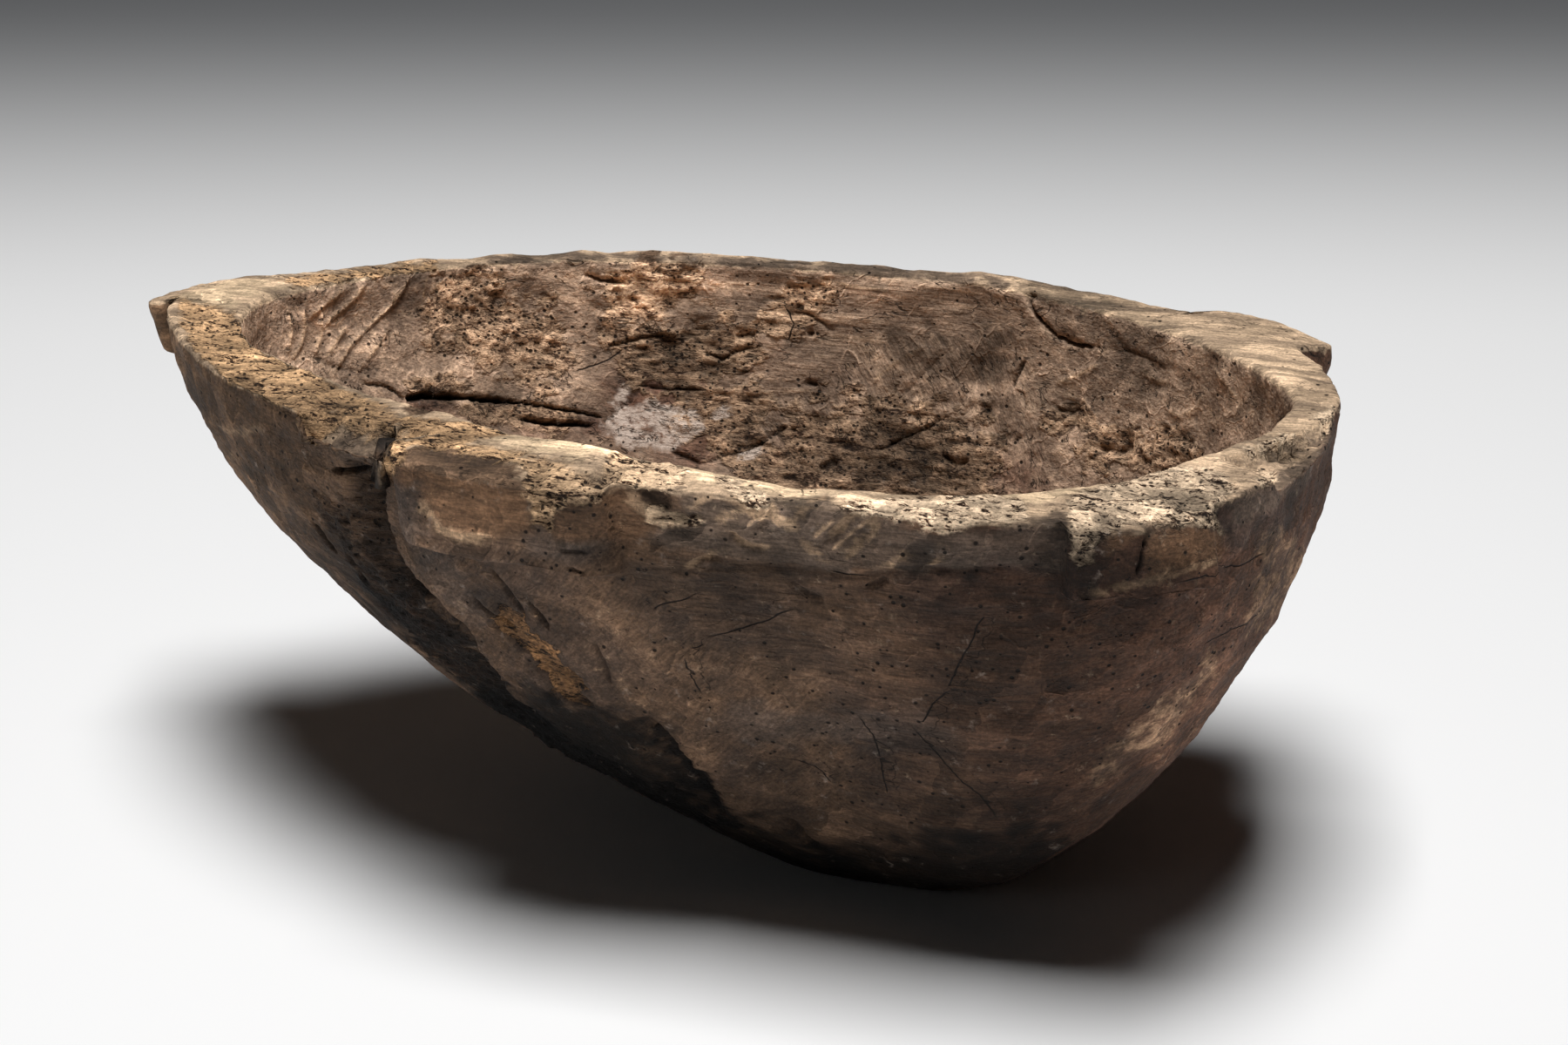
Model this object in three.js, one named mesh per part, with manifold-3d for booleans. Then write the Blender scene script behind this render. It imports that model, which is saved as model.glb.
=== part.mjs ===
// A dug-out bowl, hewn from one block of wood, with four lugs carved on its rim.
// Sizes are in millimetres and angles in degrees. X runs from the pointed end to the round end,
// Y runs to the back and Z up. The bowl stands on Z = 0 and its box is centred on X = 0, Y = 0.
// Angles are seen from above, round the widest station of the rim, from the round end to the back.
import * as THREE from 'three';
import { mergeVertices } from 'three/addons/utils/BufferGeometryUtils.js';
import Module from 'manifold-3d';

// Height of the rim over the surface that the bowl stands on
const HEIGHT = 374;

// The rim is an egg round its widest station, and each reach runs from there to its outer edge
const WIDEST_X = 139.4;
const WIDEST_Y = 34.5;
const REACH_TIP = 581;
const REACH_ROUND = 324;
const REACH_BACK = 236;
const REACH_FRONT = 294;

// Wall thickness at the rim
const WALL_TIP = 69;
const WALL_ROUND = 33;
const WALL_BACK = 20;
const WALL_FRONT = 31;

// The flat that the bowl stands on, an ellipse
const FOOT_X = 131.4;
const FOOT_Y = 6.5;
const FOOT_HALF_LENGTH = 92;
const FOOT_HALF_WIDTH = 72;

// The flat bottom of the hollow, an ellipse, and the wood left under it
const FLOOR = 60;
const HOLLOW_X = 146.4;
const HOLLOW_Y = 12.5;
const HOLLOW_HALF_LENGTH = 100;
const HOLLOW_HALF_WIDTH = 60;

// Fullness of each quarter of the rim, along the bowl and across it: 2 is an ellipse, 1 a straight cut
const RIM_FULLNESS = {
  backRound: [1.78, 2.11],
  backTip: [3.2, 1.1],
  frontTip: [2.54, 1.41],
  frontRound: [3.54, 2.46],
};
const MOUTH_FULLNESS = {
  backRound: [1.4, 1.49],
  backTip: [3.32, 1.35],
  frontTip: [1.1, 2.35],
  frontRound: [2.27, 1.82],
};

// Fullness of the walls' sections at equal steps round the bowl: 2 and 2 make a quarter ellipse.
// A greater spread is wider low down, and a greater rise is steeper at the rim.
const OUTER_SPREAD = [1.1, 1.15, 1.3, 1.2, 1.1, 1.1, 1.24, 1.6];
const OUTER_RISE = [2.14, 1.9, 1.9, 1.5];
const INNER_SPREAD = [1.25, 1.3, 1.4, 1.3, 1.25, 1.25, 1.35, 1.65];
const INNER_RISE = [2.2, 2, 2, 1.7];

// Each lug: middle, width along the rim, reach past the wall at the top and bottom of its face,
// height of its face, fall of its top from the rim, slope under it, lean to one side, and size of
// its rounded corners
const TIP_LUG = {
  angle: 177, width: 84, top: 24, bottom: 20, height: 44, fall: 4, under: 16, lean: 34, corner: 9,
};
const FRONT_TIP_LUG = {
  angle: 234.5, width: 174, top: 14, bottom: 26, height: 66, fall: 8, under: 18, lean: 0, corner: 28,
};
const FRONT_ROUND_LUG = {
  angle: 312.5, width: 102, top: 12, bottom: 25, height: 48, fall: 3, under: 8, lean: 0, corner: 7,
};
const BACK_ROUND_LUG = {
  angle: 34, width: 106, top: 41, bottom: 36, height: 48, fall: 6, under: 22, lean: 0, corner: 9,
};

// Wood broken off the rim's outer edge: middle, width along the rim, depth into the wall at either
// end, drop below the rim, and how level its bottom is (1 is a flat ledge, 0 slopes up to the rim).
// The drop thins out to a share at both ends, and the stations are shares of the width.
const WORN_EDGE = { angle: 216, width: 96, depthRound: 30, depthTip: 8, drop: 20, level: 0.25 };
const BROKEN_LEDGE = { angle: 343, width: 128, depthRound: 4, depthTip: 46, drop: 12, level: 1 };
const LOSS_END_DROP = 0.3;
const LOSS_STATIONS = [0, 0.08, 0.3, 0.5, 0.7, 0.92, 1];

// Grooves, each with its way as angles and heights. One that leans is steep on one side and
// shallow on the other. Outside: the split's narrow top, its broken hollow, the worn band under
// it, and the step in the wall. Inside: the rotted slot, and the drying crack at the back.
const SPLIT_TOP = {
  width: 12, depth: 20, lean: 0,
  path: [[221.5, 382], [221, 356], [219.5, 340]],
};
const SPLIT = {
  width: 36, depth: 16, lean: 0.7,
  path: [[218, 350], [216.5, 314], [215.5, 293], [215, 268], [215, 245], [215.5, 228]],
};
const WORN_BAND = {
  width: 52, depth: 9, lean: 0.7,
  path: [[214.5, 240], [215.5, 215], [214.5, 186], [212.2, 159], [211.8, 137], [211.2, 117], [211, 103]],
};
const WALL_STEP = {
  width: 40, depth: 9, lean: 0.7,
  path: [[237.2, 164], [238.6, 145], [238, 113], [236, 84], [234.2, 61]],
};
const SLOT = {
  width: 12, depth: 16, lean: 0,
  path: [[172, 258], [168, 267], [161.5, 258], [155.5, 246], [150, 238]],
};
const CRACK = {
  width: 5, depth: 9, lean: 0,
  path: [[76, 378], [75, 360], [72.5, 349], [68.5, 341], [61.5, 333], [55.5, 337], [48.5, 341]],
};

// A groove's two ends and its bottom, as shares of its full section
const GROOVE_END = 0.5;
const GROOVE_BOTTOM = 0.35;

// Rounding of the rim's edges, how deep a lug is rooted in the wall, and how far a cut runs past it
const EDGE_ROUND = 5;
const ROOT_DEPTH = 16;
const CUT_PAST = 48;

// How the surface is divided: columns round the bowl, rows up each wall, degrees between the
// points that measure the rim, and halvings that find a reach
const COLUMNS = 84;
const OUTER_ROWS = 13;
const INNER_ROWS = 10;
const FINE_STEP = 0.25;
const HALVINGS = 60;

const COLOUR = 0x6b5238;
const ROUGHNESS = 0.9;

const wasm = await Module();
wasm.setup();

const radians = THREE.MathUtils.degToRad;
const lerp = THREE.MathUtils.lerp;
const UP = new THREE.Vector3(0, 0, 1);

function fullnessAt(angle, fullness) {
  const c = Math.cos(radians(angle));
  const s = Math.sin(radians(angle));
  if (s >= 0) return c >= 0 ? fullness.backRound : fullness.backTip;
  return c >= 0 ? fullness.frontRound : fullness.frontTip;
}

// Distance from the widest station at an angle: the along and across shares, each raised to its
// fullness, add up to one, and halving the range finds the distance
function reachAt(angle, reach, fullness) {
  const c = Math.cos(radians(angle));
  const s = Math.sin(radians(angle));
  const along = Math.abs(c) / (c >= 0 ? reach.round : reach.tip);
  const across = Math.abs(s) / (s >= 0 ? reach.back : reach.front);
  const [m, n] = fullnessAt(angle, fullness);
  let low = 0;
  let high = reach.round + reach.tip + reach.back + reach.front;
  for (let i = 0; i < HALVINGS; i++) {
    const middle = (low + high) / 2;
    if ((middle * along) ** m + (middle * across) ** n < 1) low = middle;
    else high = middle;
  }
  return low;
}

// A value given at equal steps round the bowl, eased between its neighbours
function eased(values, angle) {
  const place = THREE.MathUtils.euclideanModulo(angle, 360) / 360 * values.length;
  const index = Math.floor(place);
  return lerp(values[index % values.length], values[(index + 1) % values.length],
    THREE.MathUtils.smoothstep(place - index, 0, 1));
}

const OUTER = {
  reach: { tip: REACH_TIP, round: REACH_ROUND, back: REACH_BACK, front: REACH_FRONT },
  fullness: RIM_FULLNESS,
  spread: OUTER_SPREAD,
  rise: OUTER_RISE,
  base: { x: FOOT_X, y: FOOT_Y, z: 0, length: FOOT_HALF_LENGTH, width: FOOT_HALF_WIDTH },
};
const INNER = {
  reach: {
    tip: REACH_TIP - WALL_TIP,
    round: REACH_ROUND - WALL_ROUND,
    back: REACH_BACK - WALL_BACK,
    front: REACH_FRONT - WALL_FRONT,
  },
  fullness: MOUTH_FULLNESS,
  spread: INNER_SPREAD,
  rise: INNER_RISE,
  base: { x: HOLLOW_X, y: HOLLOW_Y, z: FLOOR, length: HOLLOW_HALF_LENGTH, width: HOLLOW_HALF_WIDTH },
};

function edgePoint(side, angle) {
  const r = reachAt(angle, side.reach, side.fullness);
  const turn = radians(angle);
  return new THREE.Vector2(WIDEST_X + r * Math.cos(turn), WIDEST_Y + r * Math.sin(turn));
}

function basePoint(side, angle) {
  const { x, y, length, width } = side.base;
  const c = Math.cos(radians(angle));
  const s = Math.sin(radians(angle));
  const r = 1 / Math.hypot(c / length, s / width);
  return new THREE.Vector2(x + r * c, y + r * s);
}

// A point on a wall: a superellipse from the base at turn 0 to the rim's edge at turn 1
function wallPoint(side, angle, turn) {
  const out = Math.sin(turn * Math.PI / 2) ** (2 / eased(side.spread, angle));
  const up = 1 - Math.cos(turn * Math.PI / 2) ** (2 / eased(side.rise, angle));
  const flat = basePoint(side, angle).lerp(edgePoint(side, angle), out);
  return new THREE.Vector3(flat.x, flat.y, lerp(side.base.z, HEIGHT, up));
}

// The same wall by height, and level with the edge above the rim
function wallAtHeight(side, angle, z) {
  const up = THREE.MathUtils.clamp((z - side.base.z) / (HEIGHT - side.base.z), 0, 1);
  const turn = Math.acos((1 - up) ** (eased(side.rise, angle) / 2)) / (Math.PI / 2);
  const point = wallPoint(side, angle, turn);
  point.z = z;
  return point;
}

// Level direction square to the rim, away from the bowl
function outward(side, angle) {
  const before = edgePoint(side, angle - 1);
  const after = edgePoint(side, angle + 1);
  const along = after.sub(before).normalize();
  return new THREE.Vector3(along.y, -along.x, 0);
}

// Angles that stand at equal steps along the outer edge, and the angle a distance from another
const rimTable = [];
for (let angle = 0, length = 0, last = null; angle <= 360; angle += FINE_STEP) {
  const point = edgePoint(OUTER, angle);
  if (last) length += point.distanceTo(last);
  rimTable.push({ angle, length });
  last = point;
}
const rimLength = rimTable[rimTable.length - 1].length;

function angleAtLength(length) {
  const turns = Math.floor(length / rimLength);
  const rest = length - turns * rimLength;
  let i = 1;
  while (rimTable[i].length < rest) i++;
  const from = rimTable[i - 1];
  const to = rimTable[i];
  const share = (rest - from.length) / (to.length - from.length);
  return lerp(from.angle, to.angle, share) + 360 * turns;
}

function lengthAtAngle(angle) {
  const place = angle / FINE_STEP;
  const index = Math.floor(place);
  const next = Math.min(index + 1, rimTable.length - 1);
  return lerp(rimTable[index].length, rimTable[next].length, place - index);
}

function toManifold(geometry) {
  const bare = geometry.clone();
  bare.deleteAttribute('normal');
  bare.deleteAttribute('uv');
  const merged = mergeVertices(bare, 1e-4);
  return new wasm.Manifold(new wasm.Mesh({
    numProp: 3,
    vertProperties: new Float32Array(merged.attributes.position.array),
    triVerts: new Uint32Array(merged.index.array),
  }));
}

function toGeometry(manifold) {
  const mesh = manifold.getMesh();
  const geometry = new THREE.BufferGeometry();
  geometry.setAttribute('position', new THREE.BufferAttribute(new Float32Array(mesh.vertProperties), 3));
  geometry.setIndex(new THREE.BufferAttribute(new Uint32Array(mesh.triVerts), 1));
  return geometry;
}

// Joins rings of points into a closed body. Rings run with the inside on their left.
function closedBody(rings, startPoint, endPoint) {
  const count = rings[0].length;
  const points = [startPoint, ...rings.flat(), endPoint];
  const at = (ring, i) => 1 + ring * count + (i % count);
  const last = points.length - 1;
  const index = [];
  for (let i = 0; i < count; i++) {
    index.push(0, at(0, i + 1), at(0, i));
    index.push(last, at(rings.length - 1, i), at(rings.length - 1, i + 1));
    for (let ring = 0; ring < rings.length - 1; ring++) {
      index.push(at(ring, i), at(ring, i + 1), at(ring + 1, i + 1));
      index.push(at(ring, i), at(ring + 1, i + 1), at(ring + 1, i));
    }
  }
  const geometry = new THREE.BufferGeometry().setFromPoints(points);
  geometry.setIndex(index);
  return geometry;
}

function middleOf(points) {
  const sum = points.reduce((total, point) => total.add(point), new THREE.Vector3());
  return sum.divideScalar(points.length);
}

// The bowl without its lugs: foot, outer wall, rounded rim, inner wall and the hollow's bottom
function hollowShell() {
  const angles = [];
  for (let i = 0; i < COLUMNS; i++) angles.push(angleAtLength(rimLength * i / COLUMNS));
  const ring = (place) => angles.map(place);
  const rings = [];
  for (let i = 0; i < OUTER_ROWS; i++) {
    rings.push(ring((angle) => wallPoint(OUTER, angle, i / OUTER_ROWS)));
  }
  rings.push(ring((angle) => wallAtHeight(OUTER, angle, HEIGHT - EDGE_ROUND)));
  const across = (angle, side, inset) => {
    const edge = edgePoint(side, angle);
    const other = edgePoint(side === OUTER ? INNER : OUTER, angle);
    const step = other.sub(edge).setLength(inset);
    return new THREE.Vector3(edge.x + step.x, edge.y + step.y, HEIGHT);
  };
  rings.push(ring((angle) => across(angle, OUTER, EDGE_ROUND)));
  rings.push(ring((angle) => across(angle, INNER, EDGE_ROUND)));
  rings.push(ring((angle) => wallAtHeight(INNER, angle, HEIGHT - EDGE_ROUND)));
  for (let i = INNER_ROWS - 1; i >= 0; i--) {
    rings.push(ring((angle) => wallPoint(INNER, angle, i / INNER_ROWS)));
  }
  return closedBody(rings, middleOf(rings[0]), middleOf(rings[rings.length - 1]));
}

// Stations from the near end to the far end of a stretch of rim
function stretch(part, shares) {
  const middle = lengthAtAngle(part.angle);
  return shares.map((share) => ({ share, angle: angleAtLength(middle + part.width * (share - 0.5)) }));
}

// A lug: a block along the rim, cut off steeply at both ends, where its corners are quarter circles
// and it ends just inside the wall, and sloped under
function lugBody(lug) {
  const corner = lug.corner / lug.width;
  const shares = [0, corner / 3, corner, 0.25, 0.5, 0.75, 1 - corner, 1 - corner / 3, 1];
  const rings = stretch(lug, shares).map(({ share, angle }) => {
    const fromEnd = Math.min(1, Math.min(share, 1 - share) / corner);
    const full = Math.sqrt(1 - (1 - fromEnd) ** 2);
    const tuck = fromEnd === 0 ? EDGE_ROUND : 0;
    const out = outward(OUTER, angle).applyAxisAngle(UP, radians(lug.lean));
    const place = (z, offset) => wallAtHeight(OUTER, angle, z).addScaledVector(out, offset);
    const low = HEIGHT - lug.height;
    return [
      place(low - lug.under, -ROOT_DEPTH),
      place(low, lug.bottom * full - tuck),
      place(HEIGHT - lug.fall, lug.top * full - tuck),
      place(HEIGHT, -ROOT_DEPTH),
    ];
  });
  return closedBody(rings, middleOf(rings[0]), middleOf(rings[rings.length - 1]));
}

// Wood missing from the rim's outer edge: a wedge or a step, deeper at one end
function lossBody(loss) {
  const rings = stretch(loss, LOSS_STATIONS).map(({ share, angle }) => {
    const depth = lerp(loss.depthTip, loss.depthRound, share);
    const drop = loss.drop * (share % 1 === 0 ? LOSS_END_DROP : 1);
    const out = outward(OUTER, angle);
    const place = (z, offset) => wallAtHeight(OUTER, angle, HEIGHT).setZ(z).addScaledVector(out, offset);
    return [
      place(HEIGHT - drop * loss.level, -depth),
      place(HEIGHT - drop, -depth * loss.level),
      place(HEIGHT - drop, CUT_PAST),
      place(HEIGHT + CUT_PAST, CUT_PAST),
      place(HEIGHT + CUT_PAST, -depth),
    ];
  });
  return closedBody(rings, middleOf(rings[0]), middleOf(rings[rings.length - 1]));
}

// A groove along a way on a wall: open at the surface, narrower at its bottom and at both ends
function grooveBody(side, { path, width, depth, lean }) {
  const inwardSign = side === OUTER ? -1 : 1;
  const bottom = GROOVE_BOTTOM * (1 - lean);
  const points = path.map(([angle, z]) => wallAtHeight(side, angle, z));
  const rings = points.map((point, i) => {
    const before = points[Math.max(i - 1, 0)];
    const after = points[Math.min(i + 1, points.length - 1)];
    const along = after.clone().sub(before).normalize();
    const into = outward(side, path[i][0]).multiplyScalar(inwardSign);
    const across = new THREE.Vector3().crossVectors(along, into).normalize();
    const end = i === 0 || i === points.length - 1 ? GROOVE_END : 1;
    const place = (sideways, deep) => point.clone()
      .addScaledVector(across, sideways * width * end / 2)
      .addScaledVector(into, deep);
    return [
      place(-1, -CUT_PAST),
      place(-1, 0),
      place(lean - bottom, depth * end),
      place(lean + bottom, depth * end),
      place(1, 0),
      place(1, -CUT_PAST),
    ];
  });
  return closedBody(rings, middleOf(rings[0]), middleOf(rings[rings.length - 1]));
}

function outwardFacing(geometry) {
  const manifold = toManifold(geometry);
  if (manifold.volume() > 0) return manifold;
  const turned = geometry.clone();
  turned.setIndex(Array.from(geometry.index.array).reverse());
  return toManifold(turned);
}

let bowl = outwardFacing(hollowShell());
for (const lug of [TIP_LUG, FRONT_TIP_LUG, FRONT_ROUND_LUG, BACK_ROUND_LUG]) {
  bowl = bowl.add(outwardFacing(lugBody(lug)));
}
for (const loss of [WORN_EDGE, BROKEN_LEDGE]) bowl = bowl.subtract(outwardFacing(lossBody(loss)));
for (const groove of [SPLIT_TOP, SPLIT, WORN_BAND, WALL_STEP]) {
  bowl = bowl.subtract(outwardFacing(grooveBody(OUTER, groove)));
}
for (const groove of [SLOT, CRACK]) bowl = bowl.subtract(outwardFacing(grooveBody(INNER, groove)));

const bowlGeometry = toGeometry(bowl);
bowlGeometry.computeBoundingBox();
const box = bowlGeometry.boundingBox;
bowlGeometry.translate(-(box.min.x + box.max.x) / 2, -(box.min.y + box.max.y) / 2, 0);

const wood = new THREE.MeshStandardMaterial({ color: COLOUR, roughness: ROUGHNESS, metalness: 0 });
const bowlMesh = new THREE.Mesh(bowlGeometry, wood);
bowlMesh.name = 'bowl';

const group = new THREE.Group();
group.add(bowlMesh);

export default group;
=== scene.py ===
"""Old bowl hewn from one block of wood, with four carved lugs, a torn rim and an open split."""

import math

import bpy
import numpy as np
from bpy.props import FloatProperty, FloatVectorProperty, IntProperty, PointerProperty
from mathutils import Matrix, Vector
from mathutils.bvhtree import BVHTree


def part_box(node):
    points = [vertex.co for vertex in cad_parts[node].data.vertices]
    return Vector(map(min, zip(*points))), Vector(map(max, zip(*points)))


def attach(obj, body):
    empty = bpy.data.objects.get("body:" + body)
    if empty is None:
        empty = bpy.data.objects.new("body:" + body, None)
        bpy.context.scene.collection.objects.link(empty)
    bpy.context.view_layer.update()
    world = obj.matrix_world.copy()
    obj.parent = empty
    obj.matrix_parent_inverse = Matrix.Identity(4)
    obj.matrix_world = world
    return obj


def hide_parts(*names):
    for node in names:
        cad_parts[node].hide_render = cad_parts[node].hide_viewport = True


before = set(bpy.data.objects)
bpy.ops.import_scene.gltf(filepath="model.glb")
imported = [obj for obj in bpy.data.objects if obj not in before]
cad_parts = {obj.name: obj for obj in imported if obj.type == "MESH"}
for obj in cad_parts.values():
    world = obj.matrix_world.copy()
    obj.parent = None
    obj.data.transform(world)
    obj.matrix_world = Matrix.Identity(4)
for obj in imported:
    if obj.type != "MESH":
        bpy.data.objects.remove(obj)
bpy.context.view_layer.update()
BOWL_LOW, BOWL_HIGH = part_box("bowl")

bl_info = {
    "name": "Old dug-out bowl",
    "version": (1, 0, 0),
    "blender": (4, 5, 0),
    "location": "View3D > Sidebar > Bowl",
    "description": "Carves an old dug-out bowl and sets it on a pale studio floor",
    "category": "Object",
}

MM = 0.001

# The bowl's form, in millimetres and degrees. X runs from the pointed end to the round end, Y to
# the back. Angles are seen from above round the widest station, from the round end to the back.
# Fullness is the two powers of each quarter's outline. Spread and rise are the powers of a wall's
# way out and up, at equal angles round the bowl. A base is an ellipse about its own middle.
WIDEST = (139.4, 34.5)
OUTER = {
    "reach": {"tip": 581, "round": 324, "back": 236, "front": 294},
    "fullness": ((1.78, 2.11), (3.2, 1.1), (2.54, 1.41), (3.54, 2.46)),
    "spread": (1.1, 1.15, 1.3, 1.2, 1.1, 1.1, 1.24, 1.6),
    "rise": (2.14, 1.9, 1.9, 1.5),
    "base": {"x": 131.4, "y": 6.5, "z": 0, "length": 92, "width": 72},
}
INNER = {
    "reach": {"tip": 512, "round": 291, "back": 216, "front": 263},
    "fullness": ((1.4, 1.49), (3.32, 1.35), (1.1, 2.35), (2.27, 1.82)),
    "spread": (1.25, 1.3, 1.4, 1.3, 1.25, 1.25, 1.35, 1.65),
    "rise": (2.2, 2, 2, 1.7),
    "base": {"x": 146.4, "y": 12.5, "z": 60, "length": 100, "width": 60},
}

# Each lug: middle, width along the rim, reach past the wall at the top and bottom of its face,
# height of its face, fall of its top, slope under it, lean to one side, and size of its corners
LUG_MEASURES = ("angle", "width", "top", "bottom", "height", "fall", "under", "lean", "corner")
LUGS = [dict(zip(LUG_MEASURES, row)) for row in (
    (177, 84, 24, 20, 44, 4, 16, 34, 9),
    (234.5, 174, 14, 26, 66, 8, 18, 0, 28),
    (312.5, 102, 12, 25, 48, 3, 8, 0, 7),
    (34, 106, 41, 36, 48, 6, 22, 0, 9),
)]
# How deep in the wall a lug's root is, and the height over which the wall settles under its top
LUG_ROOT = 16
LUG_SETTLE = 30

# Wood lost from the rim's outer edge: middle, width, depth into the wall at either end, drop, and
# how level its bottom is
LOSS_MEASURES = ("angle", "width", "depth_round", "depth_tip", "drop", "level")
LOSSES = [dict(zip(LOSS_MEASURES, row)) for row in (
    (216, 96, 30, 8, 20, 0.25),
    (343, 128, 4, 46, 12, 1),
)]
# How rough the broken wood is, the height over which it blends into the wall under it, and the
# share of the wood over it that is gone
LOSS_ROUGHNESS = 2.5
LOSS_BLEND = 40
LOSS_SHARE = 0.97

# Rows of points up the outer wall, over the rim, down the hollow and to each middle, for this many
# columns, and the fewest rows of each
ROWS = (230, 30, 210, 12)
ROWS_COLUMNS = 1200
FEWEST_ROWS = 6

# Steps of the searches and tables that place the rows and columns
HALVINGS = 50
TURN_STEPS = 400
TURN_ANGLES = (20.0, 110.0, 200.0, 290.0)
ANGLE_STEPS = 2881

# The camera of the photo, in millimetres and degrees, and its picture in pixels. Marks are placed
# by the pixels of this picture.
CAMERA = (682.4, -2016.5, 1083.5)
CAMERA_TURN = 17.0
CAMERA_DOWN = 21.5
LENS = 70.0
SENSOR = 36.0
PICTURE = (1800, 1200)

# A point is on a mark's side of the wall when its direction, times the sum of the directions at
# the two ends of the mark's stretch, is over this
SAME_SIDE = -0.2

# Repeatable noise: what mixes a corner's numbers, how each finer copy is weakened, shrunk, moved
# and seeded, the strength of the whole, and how far scattered points stray in their boxes
MIX_X, MIX_Y, MIX_Z = 73856093, 19349663, 83492791
MIX_SEED, MIX_START = 40503, 977
MIX_FIRST, MIX_SECOND = 2246822519, 3266489917
WHOLE = 0xffffffff
HALF = 2.0 ** 31
OCTAVE_WEIGHT = 0.55
OCTAVE_SCALE = 2.03
OCTAVE_MOVE = 5.1
OCTAVE_SEED = 17
NOISE_STRENGTH = 1.6
SCATTER = 0.32

# Kinds of unevenness: size along X, Y and Z in millimetres, seed, and number of layers
UNEVEN = {
    "ragged": ((14, 10, 10), 3, 3),
    "broad": ((130, 90, 90), 7, 2),
    "dents": ((26, 20, 20), 53, 2),
    "edge": ((30, 26, 14), 59, 3),
    "splinters": ((18, 3.0, 3.0), 23, 3),
    "lumps": ((17, 9, 9), 29, 3),
    "loss": ((9, 9, 9), 31, 2),
}
# Scattered dishes: distance between them along X, Y and Z in millimetres, and seed
DISHES = {
    "cuts": ((30, 18, 18), 61),
    "facets": ((64, 40, 40), 11),
    "pits": ((11, 8, 8), 41),
}


def eased(values, angle):
    """Values given at equal steps round the bowl, with a smoothstep from each to the next."""
    values = np.array(values, float)
    place = np.mod(angle, 360.0) / 360.0 * len(values)
    index = np.floor(place).astype(int) % len(values)
    share = place - np.floor(place)
    share = share * share * (3 - 2 * share)
    return values[index] * (1 - share) + values[(index + 1) % len(values)] * share


def reach(side, angle):
    """Distance from the widest station to the edge: the shares along and across the bowl, each
    raised to the quarter's fullness, add up to one. Halving the range finds the distance."""
    c = np.cos(np.radians(angle))
    s = np.sin(np.radians(angle))
    sizes = side["reach"]
    along = np.abs(c) / np.where(c >= 0, sizes["round"], sizes["tip"])
    across = np.abs(s) / np.where(s >= 0, sizes["back"], sizes["front"])
    quarter = np.where(s >= 0, np.where(c >= 0, 0, 1), np.where(c >= 0, 3, 2))
    fullness = np.array(side["fullness"])[quarter]
    m, n = fullness[..., 0], fullness[..., 1]
    low = np.zeros_like(c)
    high = np.full_like(c, sum(sizes.values()))
    for _ in range(HALVINGS):
        middle = (low + high) / 2
        within = (middle * along) ** m + (middle * across) ** n < 1
        low = np.where(within, middle, low)
        high = np.where(within, high, middle)
    return low


def edge(side, angle):
    """The rim's edge seen from above: the widest station plus the reach at the angle."""
    r = reach(side, angle)
    turn = np.radians(angle)
    return np.stack([WIDEST[0] + r * np.cos(turn), WIDEST[1] + r * np.sin(turn)], -1)


def base(side, angle):
    """The ellipse at the foot or at the hollow's bottom, at the same angles as the edge."""
    spot = side["base"]
    turn = np.radians(angle)
    r = 1 / np.hypot(np.cos(turn) / spot["length"], np.sin(turn) / spot["width"])
    return np.stack([spot["x"] + r * np.cos(turn), spot["y"] + r * np.sin(turn)], -1)


def top_turn(side, angle, z, height):
    """The turn at which a wall reaches the height z."""
    low = side["base"]["z"]
    up = (z - low) / (height - low)
    return np.arccos((1 - up) ** (eased(side["rise"], angle) / 2)) / (math.pi / 2)


def wall(side, angle, turn, height):
    """A wall, rows by columns: a superellipse from the base at turn 0 to the edge at turn 1. It
    goes out with a power of the sine and up with a power of the cosine of the turn."""
    out = np.sin(turn * math.pi / 2) ** (2 / eased(side["spread"], angle))
    up = 1 - np.cos(np.minimum(turn, 1) * math.pi / 2) ** (2 / eased(side["rise"], angle))
    flat = base(side, angle) * (1 - out[..., None]) + edge(side, angle) * out[..., None]
    low = side["base"]["z"]
    return np.concatenate([flat, (low + (height - low) * up)[..., None]], -1)


def even_turns(side, count, height):
    """Turns at about equal distances up the wall, for all columns alike."""
    fine = np.linspace(0, 1, TURN_STEPS)
    sample = wall(side, np.array(TURN_ANGLES), fine[:, None], height)
    length = np.linalg.norm(np.diff(sample, axis=0), axis=-1).mean(1).cumsum()
    length = np.concatenate([[0], length])
    return np.interp(np.linspace(0, length[-1], count), length, fine)


def even_angles(count):
    """Angles at equal distances along the outer edge, and a table of angles with their lengths."""
    fine = np.linspace(0, 360, ANGLE_STEPS)
    length = np.linalg.norm(np.diff(edge(OUTER, fine), axis=0), axis=-1).cumsum()
    length = np.concatenate([[0], length])
    angles = np.interp(np.arange(count) / count * length[-1], length, fine)
    return angles, fine, length


RIM_ANGLES, RIM_LENGTHS = even_angles(1)[1:]


def smooth(value, low, high):
    """A smoothstep of the value from low to high."""
    share = np.clip((value - low) / (high - low), 0, 1)
    return share * share * (3 - 2 * share)


def corner_value(corner, seed):
    """A repeatable random value from -1 to 1 for each whole-number corner."""
    x, y, z = (corner[..., i].astype(np.int64) for i in range(3))
    mixed = (x * MIX_X) ^ (y * MIX_Y) ^ (z * MIX_Z) ^ (seed * MIX_SEED + MIX_START)
    mixed &= WHOLE
    mixed = ((mixed ^ (mixed >> 15)) * MIX_FIRST) & WHOLE
    mixed = ((mixed ^ (mixed >> 13)) * MIX_SECOND) & WHOLE
    return (mixed ^ (mixed >> 16)) / HALF - 1


def cube_corners():
    """The eight corners of a cube of size one."""
    return [np.array([k & 1, k >> 1 & 1, k >> 2 & 1]) for k in range(8)]


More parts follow.
